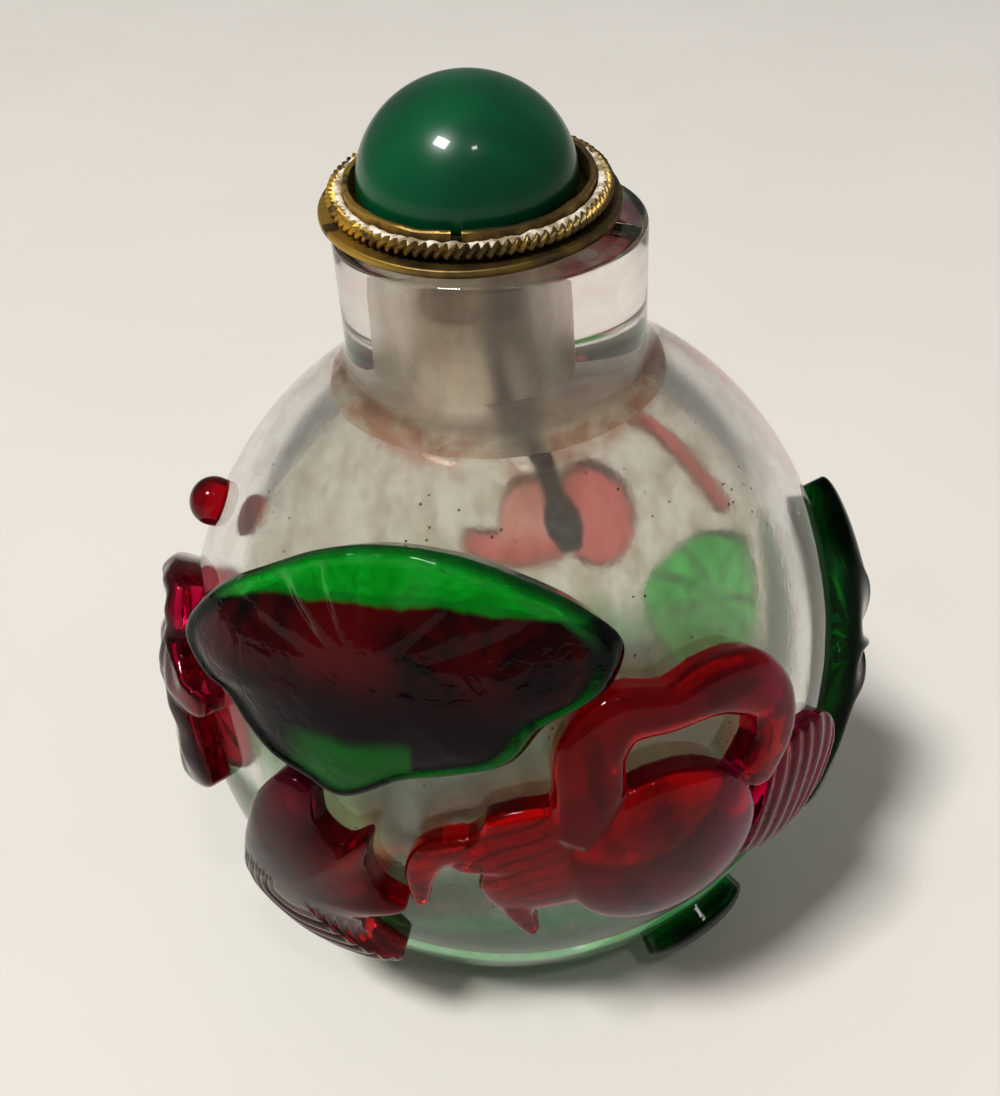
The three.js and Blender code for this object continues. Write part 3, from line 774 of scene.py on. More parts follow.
@dataclass(frozen=True)
class GroundGlass:
    """The hollow's wall: ground matt and smoky, with pale streaks that run down, and painted shade down the
    middle of the bore.
    """

    name: str = "ground_glass_inside"
    pale: Colour = (1.0, 0.975, 0.91)
    smoky: Colour = (0.68, 0.62, 0.50)
    transmission: float = 0.80
    roughness: float = 0.08
    streaks: Span = (0.40, 0.66)
    dust: Span = (0.40, 0.75)
    streak_share: float = 0.75
    # Painted shade: a darker upright band down the middle of the bore, below the cork and spoon
    bore_shade: float = 0.0
    bore_shade_colour: Colour = (0.16, 0.13, 0.10)
    bore_shade_left: Span = (-1.2, 0.0)
    bore_shade_right: Span = (2.2, 1.0)

    def make(self) -> bpy.types.Material:
        """Join up the material.

        Returns:
            The material.
        """
        shader = Shader(self.name)
        noise = shader.stretched((1.7, 1.7, 8.0), 6.0)
        streaks = shader.product(shader.rise(noise, *self.streaks), self.streak_share)
        dust = shader.product(shader.rise(shader.noise(0.7, 5.0), *self.dust), 1.0 - self.streak_share)
        colour = shader.mix(shader.maths("ADD", streaks, dust), self.pale, self.smoky)
        # Painted shade down the bore's middle, between the two side spans
        if self.bore_shade:
            side = shader.axis("X")
            left, right = shader.rise_mm(side, self.bore_shade_left), shader.rise_mm(side, self.bore_shade_right)
            colour = shader.mix(shader.product(left, right, self.bore_shade), colour, self.bore_shade_colour)
        shader.set(Base_Color=colour, Transmission_Weight=self.transmission, IOR=GLASS_IOR)
        shader.roughen(self.roughness, shader.rise(noise, 0.35, 0.7), 0.10)
        shader.bump(shader.noise(0.35, 4.0), 0.015, 0.5)
        return shader.material


@dataclass(frozen=True)
class OverlayGlass:
    """Coloured overlay glass: bright where it is thin, darker where it is thick."""

    name: str
    thin: Colour
    middle: Colour
    thick: Colour
    transmission: float = 0.97
    gleam: Colour = (0.34, 0.34, 0.34)
    stops: tuple[float, float, float] = (0.12, 0.42, 0.95)
    depth_mm: float = 3.0
    clouding: float = 0.9

    def colour(self, shader: Shader) -> bpy.types.NodeSocket:
        """Colour the glass by its height above the wall, clouded a little.

        Args:
            shader: the material's nodes.

        Returns:
            The colour.
        """
        height = shader.attribute("out_mm")
        clouds = shader.maths("SUBTRACT", shader.noise(3.2, 3.0, 0.8), 0.5)
        depth = shader.maths("DIVIDE", height, self.depth_mm)
        depth = shader.maths("ADD", depth, shader.product(clouds, self.clouding))
        return shader.ramp(depth, list(zip(self.stops, (self.thin, self.middle, self.thick))))

    def make(self) -> bpy.types.Material:
        """Join up the material, with a wheel-polished surface.

        Returns:
            The material.
        """
        shader = Shader(self.name)
        shader.set(Base_Color=self.colour(shader))
        shader.set(Transmission_Weight=self.transmission, IOR=GLASS_IOR, Specular_Tint=self.gleam)
        shader.roughen(0.015, shader.noise(2.0, 4.0), 0.03)
        shader.bump(shader.noise(1.6, 3.0, 0.4), 0.06, 0.5)
        return shader.material


@dataclass(frozen=True)
class ShadedRuby(OverlayGlass):
    """Ruby glass with blood red, purple and dark places, as kept on the points."""

    bright: Colour = (0.86, 0.003, 0.004)
    purple: Colour = (0.72, 0.006, 0.24)
    dark: Colour = (0.045, 0.0, 0.004)

    def colour(self, shader: Shader) -> bpy.types.NodeSocket:
        """Colour the glass by its height, then by the shares kept on the points.

        Args:
            shader: the material's nodes.

        Returns:
            The colour.
        """
        colour = super().colour(shader)
        for name, tint in (("bright", self.bright), ("purple", self.purple), ("dark", self.dark)):
            colour = shader.mix(shader.attribute(name), colour, tint)
        return colour


# The bore's glass: browner, with painted shade down its middle
BORE_GLASS = GroundGlass(
    "ground_glass_bore", (0.84, 0.73, 0.55), (0.60, 0.48, 0.33), transmission=0.50, roughness=0.32, bore_shade=0.60
)
RUBY = OverlayGlass("ruby_glass", (0.42, 0.002, 0.012), (0.20, 0.0003, 0.008), (0.09, 0.0, 0.005))
BIRD = ShadedRuby("ruby_bird_glass", (0.78, 0.003, 0.006), (0.62, 0.0008, 0.014), (0.38, 0.0002, 0.014))
RIBBED = ShadedRuby("ruby_ribbed_glass", (0.66, 0.004, 0.012), (0.42, 0.0005, 0.014), (0.20, 0.0, 0.012))
FLOWER = ShadedRuby("ruby_flower_glass", (0.66, 0.010, 0.030), (0.42, 0.002, 0.022), (0.18, 0.0, 0.010))
BACK_RUBY = ShadedRuby(
    "ruby_back_glass", (0.92, 0.22, 0.24), (0.88, 0.13, 0.16), (0.80, 0.09, 0.12), bright=(0.98, 0.60, 0.56)
)
GREEN = OverlayGlass("green_glass", (0.01, 0.50, 0.06), (0.001, 0.075, 0.022), (0.0, 0.008, 0.005))
DEEP_GREEN = OverlayGlass(
    "green_deep_glass", (0.004, 0.36, 0.03), (0.0003, 0.020, 0.007), (0.0, 0.003, 0.002),
    gleam=(0.15, 0.15, 0.15),
)
BACK_GREEN = OverlayGlass("green_back_glass", (0.10, 0.90, 0.16), (0.02, 0.70, 0.10), (0.01, 0.42, 0.07))


@dataclass(frozen=True)
class Veins:
    """Straight veins that fan out from the middle of a small leaf."""

    veins: int
    height: float = 0.35
    sharpness: float = 0.7

    def at(self, share: np.ndarray, angle: np.ndarray) -> np.ndarray:
        """Return the height to add at a share of the way out and an angle round the centre."""
        wave = 1.0 - 2.0 * np.abs(np.sin(0.5 * self.veins * angle)) ** self.sharpness
        return self.height * np.sin(math.pi * np.clip(share, 0, 1)) * wave


def flat_relief(share: np.ndarray, angle: np.ndarray) -> np.ndarray:
    """Add nothing to a lump's dome."""
    return np.zeros_like(share)


@dataclass
class Lump:
    """A carved lump of overlay: domed over its outline, upright at its edge, fused to the wall."""

    outline: np.ndarray
    centre: tuple[float, float]
    thickness: float
    relief: Height = flat_relief
    levels: int = 40
    edge_share: float = EDGE_SHARE
    fullness: float = 3.0

    def build(self, name: str) -> bpy.types.Object:
        """Make the lump in millimetres.

        Args:
            name: the piece's name.

        Returns:
            The closed piece.
        """
        across, rise = WALL.scale(self.outline[:, 0], self.outline[:, 1])
        reach = self.outline - np.array(self.centre)
        angle = np.arctan2(reach[:, 1] * rise, reach[:, 0] * across)
        shares = np.sin(0.5 * math.pi * np.arange(1, self.levels + 1) / self.levels)
        crown = self.edge_share + (1 - self.edge_share) * np.sqrt(np.clip(1 - shares**self.fullness, 0, 1))
        rings = []
        for share, top in zip(shares, crown):
            spot = np.array(self.centre) + share * reach
            height = GAP + self.thickness * top + self.relief(np.full_like(angle, share), angle)
            rings.append(WALL.point(spot[:, 0], spot[:, 1], height))
        edge = GAP + self.thickness * self.edge_share + self.relief(np.ones_like(angle), angle)
        for drop in EDGE_STEPS:
            rings.append(WALL.point(self.outline[:, 0], self.outline[:, 1], edge + drop * (-FUSED - edge)))
        for share in BASE_STEPS:
            spot = np.array(self.centre) + share * reach
            rings.append(WALL.point(spot[:, 0], spot[:, 1], np.full_like(angle, -FUSED)))
        centre = np.array(self.centre)
        summit = GAP + self.thickness + self.relief(np.zeros(1), np.zeros(1))[0]
        top = WALL.point(centre[0], centre[1], summit)
        foot = WALL.point(centre[0], centre[1], -FUSED)
        return shell_from_rings(name, np.array(rings), top, foot)


@dataclass
class Band:
    """A carved band of overlay along a path of bearing, latitude and half-width."""

    path: Knots
    thickness: float
    relief: Height = field(default=lambda along, across: np.ones_like(along))
    sections: int = 90
    across: int = 20
    end_share: float = 0.02
    end_width: float = 0.1

    def build(self, name: str) -> bpy.types.Object:
        """Make the band in millimetres.

        Args:
            name: the piece's name.

        Returns:
            The closed piece.
        """
        line = curve_through(self.path, self.sections, closed=False)
        bearing, latitude, half = line.T
        across, rise = WALL.scale(bearing, latitude)
        step = np.gradient(line[:, :2], axis=0) * np.stack([across, rise], axis=1)
        step /= np.linalg.norm(step, axis=1, keepdims=True)
        along = np.linspace(0.0, 1.0, self.sections)
        taper = np.sqrt(np.clip(np.minimum(along, 1 - along) / self.end_share, self.end_width, 1.0))

        def row(share: float, lift: np.ndarray) -> np.ndarray:
            """Place one row of points along the band.

            Args:
                share: how far to the side, from -1 to 1.
                lift: heights above the wall.

            Returns:
                The points.
            """
            side = share * half * taper
            turned, raised = bearing - step[:, 1] * side / across, latitude + step[:, 0] * side / rise
            return WALL.point(turned, raised, lift)

        top = np.sin(0.5 * math.pi * np.linspace(-1.0, 1.0, self.across + 1))
        rows = []
        for share in top:
            crown = EDGE_SHARE + (1 - EDGE_SHARE) * math.sqrt(max(0.0, 1 - abs(share) ** 3))
            lift = GAP + self.thickness * crown * self.relief(along, np.full_like(along, share))
            rows.append(row(share, lift))
        for share in (1.0, 0.5, 0.0, -0.5, -1.0):
            rows.append(row(share, np.full_like(along, -FUSED)))
        rings = np.array(rows).transpose(1, 0, 2)
        return shell_from_rings(name, rings, rings[0].mean(0), rings[-1].mean(0))


def mark(piece: bpy.types.Object) -> tuple[np.ndarray, np.ndarray, np.ndarray]:
    """Keep each point's place on the wall for its material.

    Args:
        piece: the piece, in millimetres.

    Returns:
        Bearings and latitudes in degrees, and heights above the wall.
    """
    bearing, latitude, out = WALL.locate(points_of(piece))
    note(piece, "bearing", bearing)
    note(piece, "latitude", latitude)
    note(piece, "out_mm", out)
    return bearing, latitude, out


def shade(piece: bpy.types.Object, bright: np.ndarray, purple: np.ndarray, dark: np.ndarray) -> None:
    """Keep the shares of the ruby glass's three tints.

    Args:
        piece: the piece.
        bright: share of blood red at each point.
        purple: share of purple.
        dark: share of the dark tint.
    """
    note(piece, "bright", bright)
    note(piece, "purple", purple)
    note(piece, "dark", dark)


@dataclass
class GlassBody:
    """The clear bottle: ovoid body, round neck, ground bore and hollow."""

    neck_radius: float = 9.0
    neck_rise: float = 5.5
    neck_fillet: float = 1.1
    rounding: float = 0.35
    bore_radius: float = 3.8
    bore_shift: float = -0.9
    side_wall: float = 2.6
    shoulder_wall: float = 2.6
    floor_wall: float = 4.2
    underside: float = 1.6
    around: int = 192
    outside_rings: int = 72
    underside_steps: tuple[float, ...] = (0.3, 0.6, 0.8, 0.95)
    fillet_rings: int = 9
    neck_rings: int = 7
    rim_rings: int = 4
    mouth_rings: int = 3
    bore_rings: int = 9
    tan_rings: int = 5
    hollow_rings: int = 56
    hollow_foot: float = -0.49 * math.pi
    hollow_roundness: float = 0.35

    def reach(self, angle: np.ndarray, width: float, depth: float) -> np.ndarray:
        """Measure from the axis to an oval, at angles round the axis."""
        return 1.0 / np.hypot(np.cos(angle) / width, np.sin(angle) / depth)

    def rings(self) -> tuple[np.ndarray, int]:
        """Work out the wall from the underside to the rim and down the hollow.

        Returns:
            The rings, and how many of them are on the polished outside.
        """
        angle = np.linspace(0.0, 2 * math.pi, self.around, endpoint=False)
        rim = LEVEL + HALF_HEIGHT + self.neck_rise
        wide = self.reach(angle, HALF_WIDTH, HALF_DEPTH)
        low = math.asin((self.underside - LEVEL) / HALF_HEIGHT)

        def ring(radius: np.ndarray | float, height: np.ndarray | float, shift: float = 0.0) -> np.ndarray:
            """Place one ring of points.

            Args:
                radius: distance from the ring's centre, one for all or one for each point.
                height: height above the table, likewise.
                shift: how far the centre is to the right of the axis.

            Returns:
                The points.
            """
            spread = np.broadcast_to(radius, angle.shape)
            return np.stack([
                shift + spread * np.cos(angle), spread * np.sin(angle), np.broadcast_to(height, angle.shape)
            ], axis=1)

        def outside(latitude: np.ndarray | float) -> np.ndarray:
            """Place a ring on the body's outside, at a latitude."""
            return ring(wide * np.cos(latitude), LEVEL + HALF_HEIGHT * np.sin(latitude))

        rings = [ring(share * wide * math.cos(low), self.underside) for share in self.underside_steps]
        top = np.arccos((self.neck_radius + self.neck_fillet) / wide)
        for share in np.linspace(0.0, 1.0, self.outside_rings):
            rings.append(outside(low + share * (top - low)))
        start = outside(top)
        corner = outside(np.arccos(self.neck_radius / wide))
        end = ring(self.neck_radius, corner[:, 2] + self.neck_fillet)
        for share in np.linspace(0.0, 1.0, self.fillet_rings + 1)[1:]:
            rings.append((1 - share) ** 2 * start + 2 * share * (1 - share) * corner + share**2 * end)
        for share in np.linspace(0.0, 1.0, self.neck_rings + 1)[1:]:
            height = end[:, 2] + share * (rim - self.rounding - end[:, 2])
            rings.append(ring(self.neck_radius, height))
        for turn in np.linspace(0.0, 0.5 * math.pi, self.rim_rings + 1)[1:]:
            out = self.neck_radius - self.rounding * (1 - math.cos(turn))
            rings.append(ring(out, rim - self.rounding * (1 - math.sin(turn))))
        mouth = ring(self.bore_radius + self.rounding, rim, self.bore_shift)
        brim = rings[-1]
        for share in (*EDGE_STEPS, 1.0):
            rings.append(brim + share * (mouth - brim))
        polished = len(rings)
        for turn in np.linspace(0.0, 0.5 * math.pi, self.mouth_rings + 1)[1:]:
            out = self.bore_radius + self.rounding * (1 - math.sin(turn))
            rings.append(ring(out, rim - self.rounding * (1 - math.cos(turn)), self.bore_shift))

        width, depth = HALF_WIDTH - self.side_wall, HALF_DEPTH - self.side_wall
        ceiling = HALF_HEIGHT - self.shoulder_wall
        floor = LEVEL - self.underside - self.floor_wall
        bore_foot = LEVEL + ceiling * math.sqrt(1 - (self.bore_radius / depth) ** 2) + self.rounding
        for height in np.linspace(rim - self.rounding, bore_foot, self.bore_rings + 1)[1:]:
            rings.append(ring(self.bore_radius, height, self.bore_shift))
        highest = 0.5 * math.pi - math.asin((self.bore_radius + 2 * self.rounding) / depth)
        for latitude in np.linspace(highest, self.hollow_foot, self.hollow_rings):
            half = ceiling if latitude > 0 else floor
            roundness = math.cos(latitude) ** self.hollow_roundness
            inside = self.reach(angle, width, depth) * math.cos(latitude)
            circle = depth * math.cos(latitude)
            rings.append(ring(circle + roundness * (inside - circle), LEVEL + half * math.sin(latitude)))
        return np.array(rings), polished

    def build(self) -> bpy.types.Object:
        """Make the bottle and dress it: polished outside, ground hollow, and a browner bore.

        Returns:
            The piece.
        """
        rings, polished = self.rings()
        start = np.array([0.0, 0.0, rings[0, 0, 2]])
        end = np.array([0.0, 0.0, rings[-1, 0, 2]])
        piece = shell_from_rings("glass_bottle", rings, start, end)
        level = levels_of(piece)
        brown = self.mouth_rings + self.bore_rings + self.tan_rings
        inside = []
        for face in piece.data.polygons:
            step = min(level[v] for v in face.vertices) - polished
            inside.append(0 if step < 0 else 2 if step < brown else 1)
        glass = [ClearGlass().make(), GroundGlass().make(), BORE_GLASS.make()]
        finish_piece(piece, glass, ["bottle"])
        piece.data.polygons.foreach_set("material_index", inside)
        return piece


@dataclass
class FootRing:
    """The oval foot, rounded outside and inside."""

    half_width: float = 12.4
    half_depth: float = 7.2
    band: float = 2.8
    height: float = 1.9
    squareness: float = 0.75
    around: int = 160
    sides: int = 24

    def build(self) -> bpy.types.Object:
        """Make the ring and dress it.

        Returns:
            The piece.
        """
        angle = np.linspace(0.0, 2 * math.pi, self.around, endpoint=False)
        turn = np.linspace(0.0, 2 * math.pi, self.sides, endpoint=False)
        square = np.maximum(np.abs(np.cos(turn)), np.abs(np.sin(turn)))
        middle = 0.5 * self.band
        side = np.cos(turn) / square**self.squareness * middle
        side = np.clip(side, -middle, middle)
        lift = np.clip(np.sin(turn) / square**self.squareness, -1.0, 1.0) * 0.5 * self.height
        outward = np.stack([np.cos(angle), np.sin(angle)], axis=1)
        mid = outward * np.array([self.half_width - middle, self.half_depth - middle])
        sections = np.empty((len(angle), len(turn), 3))
        sections[:, :, :2] = mid[:, None, :] + outward[:, None, :] * side[None, :, None]
        sections[:, :, 2] = 0.5 * self.height + lift
        piece = hoop_from_sections("foot_ring_glass", sections)
        mark(piece)
        finish_piece(piece, [GREEN.make()], ["foot_ring"])
        return piece


LEAF_OUTLINE = (
    (-67.5, 23.5), (-64, 29), (-58, 33.5), (-50, 37.5), (-40, 41.5), (-28, 43.8), (-12, 43), (0, 39.5),
    (9, 35), (14.5, 29.5), (11.5, 24.5), (1, 20.5), (-4, 16.3), (-12, 14.6), (-20, 13.1), (-30, 9.6),
    (-36, 11.4), (-43, 12.9), (-48, 15.4), (-54, 19), (-60.5, 20),
)
LEAF_COLOUR_LINE = (
    (-75, 27.0), (-58, 31.4), (-47, 35.1), (-33, 36.9), (-14, 37.4), (-2, 35.6), (10, 33.9), (18, 32),
)


@dataclass(frozen=True)
class LeafGlass:
    """The front leaf's glass: green above a line, dark ruby below it with painted red glow near the line and
    in its heart, nearly black towards the rim.

    Left, right and height spans are bearings and latitudes in degrees, edge spans are shares of the way
    out, and cloud spans are shares of noise.
    """

    greens: tuple[tuple[float, Colour], ...] = (
        (0.30, (0.0, 0.72, 0.03)), (0.46, (0.003, 0.95, 0.05)), (0.62, (0.05, 1.0, 0.11)),
    )
    green_rim: Colour = (0.001, 0.22, 0.03)
    green_rim_edge: Span = (0.90, 0.99)
    black_corner: Colour = (0.0004, 0.008, 0.004)
    corner_left: Span = (-54, -61)
    corner_edge: Span = (0.70, 0.86)
    dark_ruby: Colour = (0.016, 0.0002, 0.0022)
    lit_ruby: Colour = (0.26, 0.0006, 0.005)
    lit_above_mm: Span = (-7.5, -1.5)
    lit_clouds: Span = (0.30, 0.60)
    # Painted glow: the leaf's heart lit red, as if light shone through it
    heart: Colour = (0.46, 0.002, 0.006)
    heart_share: float = 0.8
    heart_left: Span = (-44, -33)
    heart_right: Span = (-20, -29)
    heart_height: Span = (24, 30)
    black_rim: Colour = (0.0002, 0.005, 0.003)
    black_rim_edge: Span = (0.80, 0.88)
    low_green: Colour = (0.002, 0.48, 0.03)
    patch_left: Span = (-41, -33)
    patch_right: Span = (-18.2, -19.4)
    patch_height: Span = (20.0, 17.4)
    patch_outer: Span = (0.90, 0.86)
    patch_inner: Span = (0.40, 0.55)
    strip_inner: Span = (0.86, 0.90)
    strip_outer: Span = (0.985, 0.95)
    strip_left: Span = (-24, -17)
    strip_right: Span = (11.0, 6.0)
    strip_clouds: Span = (0.30, 0.48)
    line_mm: Span = (0.0, 0.4)
    line_wander_mm: float = 0.7
    gleam: Colour = (0.34, 0.34, 0.34)

    def upper(self, shader: Shader, clouds: bpy.types.NodeSocket) -> bpy.types.NodeSocket:
        """Colour the green part above the line.

        Args:
            shader: the material's nodes.
            clouds: noise that varies the green.

        Returns:
            The colour.
        """
        edge, bearing = shader.attribute("edge"), shader.attribute("bearing")
        green = shader.ramp(clouds, self.greens)
        green = shader.mix(shader.rise(edge, *self.green_rim_edge), green, self.green_rim)
        corner = shader.product(shader.rise(bearing, *self.corner_left), shader.rise(edge, *self.corner_edge))
        return shader.mix(corner, green, self.black_corner)

    def lower(
        self, shader: Shader, clouds: bpy.types.NodeSocket, above: bpy.types.NodeSocket
    ) -> bpy.types.NodeSocket:
        """Colour the ruby part below the line, with painted red glow near the line and in its heart, a green
        patch and a green strip at its lower edge.

        Args:
            shader: the material's nodes.
            clouds: noise that varies the ruby.
            above: millimetres above the line.

        Returns:
            The colour.
        """
        edge, bearing = shader.attribute("edge"), shader.attribute("bearing")
        latitude = shader.attribute("latitude")
        lit = shader.product(shader.rise(above, *self.lit_above_mm), shader.rise(clouds, *self.lit_clouds))
        ruby = shader.mix(lit, self.dark_ruby, self.lit_ruby)
        # Painted glow in the leaf's heart
        heart = shader.product(
            shader.rise(bearing, *self.heart_left), shader.rise(bearing, *self.heart_right),
            shader.rise(latitude, *self.heart_height), self.heart_share,
        )
        ruby = shader.mix(heart, ruby, self.heart)
        ruby = shader.mix(shader.rise(edge, *self.black_rim_edge), ruby, self.black_rim)
        patch = shader.product(
            shader.rise(bearing, *self.patch_left), shader.rise(bearing, *self.patch_right),
            shader.rise(latitude, *self.patch_height),
            shader.rise(edge, *self.patch_outer), shader.rise(edge, *self.patch_inner),
        )
        strip = shader.product(
            shader.rise(edge, *self.strip_inner), shader.rise(edge, *self.strip_outer),
            shader.rise(bearing, *self.strip_left), shader.rise(bearing, *self.strip_right),
            shader.rise(clouds, *self.strip_clouds),
        )
        return shader.mix(shader.maths("MAXIMUM", patch, strip), ruby, self.low_green)

    def make(self) -> bpy.types.Material:
        """Join up the material.

        Returns:
            The material.
        """
        shader = Shader("leaf_glass")
        clouds = shader.noise(3.4, 3.0, 0.8)
        wander = shader.product(shader.noise(2.0, 2.0), self.line_wander_mm)
        above = shader.maths("ADD", shader.attribute("above_mm"), wander)
        green, ruby = self.upper(shader, clouds), self.lower(shader, clouds, above)
        shader.set(Base_Color=shader.mix(shader.rise(above, *self.line_mm), ruby, green))
        shader.set(Transmission_Weight=0.86, IOR=GLASS_IOR, Specular_Tint=self.gleam)
        shader.roughen(0.015, shader.noise(1.5, 4.0), 0.04)
        shader.bump(shader.noise(1.6, 3.0, 0.8), 0.16, 0.6)
        return shader.material


@dataclass
class FrontLeaf:
    """The large leaf on the front shoulder: fine cut veins, shallow folds and a rolled rim."""

    centre: tuple[float, float] = (-26.0, 27.0)
    thickness: float = 2.4
    veins: int = 15
    vein_bend: float = 0.22
    vein_depth: float = 0.26
    vein_width: float = 0.20
    folds: int = 5
    fold_depth: float = 0.13
    rim_height: float = 0.30
    rim_share: float = 0.93
    rim_width: float = 0.05
    hollow_depth: float = 0.12
    hollow_share: float = 0.3
    around: int = 384
    levels: int = 72

    def relief(self, share: np.ndarray, angle: np.ndarray) -> np.ndarray:
        """Work out the carving on the leaf's dome.

        Args:
            share: share of the way out from the centre.
            angle: angle round the centre.

        Returns:
            The heights to add.
        """
        phase = self.veins * angle / (2 * math.pi) + self.vein_bend * np.sin(3 * angle)
        offset = (phase - np.rint(phase)) / self.vein_width
        upper = 0.05 + 0.95 * smooth(0.15, 0.55, np.sin(angle))
        between = smooth(0.25, 0.6, share) * smooth(1.0, 0.85, share)
        groove = -self.vein_depth * upper * np.exp(-(offset**2)) * between
        folds = self.fold_depth * np.cos(self.folds * angle + 0.8 + 2.5 * share) * smooth(0.15, 0.7, share)
        rolled = self.rim_height * np.exp(-(((share - self.rim_share) / self.rim_width) ** 2))
        hollow = self.hollow_depth * np.exp(-((share / self.hollow_share) ** 2))
        return groove + folds + rolled - hollow

    def build(self) -> bpy.types.Object:
        """Make the leaf and dress it.

        Returns:
            The piece.
        """
        outline = curve_through(LEAF_OUTLINE, self.around, closed=True)
        lump = Lump(outline, self.centre, self.thickness, self.relief, self.levels)
        piece = lump.build("lotus_leaf_front_glass")
        bearing, latitude, _ = mark(piece)
        line = np.interp(bearing, *np.array(LEAF_COLOUR_LINE).T)
        _, rise = WALL.scale(bearing, latitude)
        note(piece, "above_mm", (latitude - line) * rise)
        out = np.clip(levels_of(piece) / self.levels, 0, 1)
        note(piece, "edge", np.sin(0.5 * math.pi * out))
        finish_piece(piece, [LeafGlass().make()], ["lotus_leaf_front"])
        return piece


@dataclass
class WaterBird:
    """The ruby bird: body, a neck bent back in a loop, a ribbed wing, a tail and a foot."""

    thickness: float = 2.3
    body_centre: tuple[float, float] = (19.0, -3.5)
    body_half: tuple[float, float] = (16.5, 13.3)
    neck: Knots = (
        (5, 2, 2.0), (7, 9, 2.1), (7.5, 15, 2.1), (12, 19.3, 1.9), (21, 19, 1.5),
        (29, 19.6, 1.9), (35, 18.2, 2.1), (39.5, 14, 1.7), (39.5, 9, 1.6), (34, 3, 1.6),
    )
    wing: Knots = ((37, -3.5, 4.6), (44, -4.8, 4.9), (51, -6.2, 4.8), (57, -8.2, 3.6))
    tail_centre: tuple[float, float] = (-2.0, -1.0)
    tail: Knots = (
        (4, 7), (-8, 6.8), (-10, 4.5), (-15, 1.6), (-14.5, -2), (-10, -2.2), (-10.5, -6), (-7, -11),
        (0, -11), (7, -9),
    )
    tail_tip: Knots = ((-11, 2, 1.0), (-17, 0, 1.1), (-19.5, -3.5, 1.0), (-20.2, -9.5, 0.5))
    foot: Knots = ((-5, -8, 1.3), (-4.5, -12, 0.9), (-2.5, -16.6, 0.45))
    neck_share: float = 0.8
    wing_share: float = 0.65
    tail_share: float = 0.7
    tip_share: float = 0.6
    wing_ribs: int = 6
    wing_rib_share: float = 0.24
    rib_slant: float = 0.05
    tail_angle: float = math.radians(200)
    feather_width: float = 2.3
    feather_dark: float = 0.5
    purple_side: tuple[float, float] = (0.75, -0.65)
    neck_purple: float = 0.4
    neck_bright: float = 0.6
    dark_spots: tuple[tuple[tuple[float, float], tuple[float, float], float], ...] = (
        ((15, -11.5), (1.9, 2.4), 0.9), ((25, -10.5), (1.7, 2.6), 0.9), ((21, -1.0), (8.0, 4.5), 0.6),
        ((31, 19.0), (5.5, 1.3), 0.75), ((8, 13.0), (1.6, 5.0), 0.5),
    )

    def wing_relief(self, along: np.ndarray, across: np.ndarray) -> np.ndarray:
        """Work out diagonal ribs across the wing, as shares of its height."""
        wave = np.abs(np.cos(math.pi * self.wing_ribs * (along + self.rib_slant * across))) ** 0.7
        return (1 - self.wing_rib_share) + self.wing_rib_share * wave

    def shades(self, piece: bpy.types.Object) -> None:
        """Keep where the bird's glass is bright, purple and dark.

        Args:
            piece: the bird, in millimetres.
        """
        bearing, latitude, _ = mark(piece)
        across = (bearing - self.body_centre[0]) / self.body_half[0]
        rise = (latitude - self.body_centre[1]) / self.body_half[1]
        reach = np.hypot(across, rise)
        facing = (self.purple_side[0] * across + self.purple_side[1] * rise) / np.maximum(reach, 0.01)
        purple = smooth(0.35, 0.85, reach) * smooth(1.16, 1.04, reach) * smooth(-0.3, 0.5, facing)
        purple = np.maximum(purple, self.neck_purple * smooth(37.0, 40.0, bearing))
        tail = smooth(5.0, -2.0, bearing) * smooth(13.0, 8.0, latitude)
        base = smooth(14.0, 9.0, bearing) * smooth(9.0, 13.0, latitude) * self.neck_bright
        dark = np.zeros_like(bearing)
        for spot, half, share in self.dark_spots:
            distance = np.hypot((bearing - spot[0]) / half[0], (latitude - spot[1]) / half[1])
            dark = np.maximum(dark, share * smooth(1.3, 0.7, distance))
        lengthwise = (bearing - self.tail_centre[0]) * math.cos(self.tail_angle)
        lengthwise += (latitude - self.tail_centre[1]) * math.sin(self.tail_angle)
        sideways = (latitude - self.tail_centre[1]) * math.cos(self.tail_angle)
        sideways -= (bearing - self.tail_centre[0]) * math.sin(self.tail_angle)
        lines = np.cos(2 * math.pi * (sideways + 0.3 * np.sin(0.5 * lengthwise)) / self.feather_width)
        dark = np.maximum(dark, self.feather_dark * tail * smooth(0.55, 0.95, lines))
        shade(piece, np.maximum(tail, base), purple, dark)

    def build(self) -> bpy.types.Object:
        """Make the bird and dress it.

        Returns:
            The piece.
        """
        deep = self.thickness
        body = Lump(oval(self.body_centre, self.body_half, 160), self.body_centre, deep)
        tail = Lump(curve_through(self.tail, 160, True), self.tail_centre, self.tail_share * deep)
        neck = Band(self.neck, self.neck_share * deep, sections=160)
        wing = Band(self.wing, self.wing_share * deep, self.wing_relief, sections=120, across=30)
        tail_tip = Band(self.tail_tip, self.tip_share * deep, sections=60)
        foot = Band(self.foot, self.tip_share * deep, sections=50)
        piece = join([
            body.build("ruby_bird_glass"),
            tail.build("bird_tail"),
            neck.build("bird_neck"),
            wing.build("bird_wing"),
            tail_tip.build("bird_tail_tip"),
            foot.build("bird_foot"),
        ])
        melt_together(piece)
        self.shades(piece)
        finish_piece(piece, [BIRD.make()], ["ruby_bird"])
        return piece


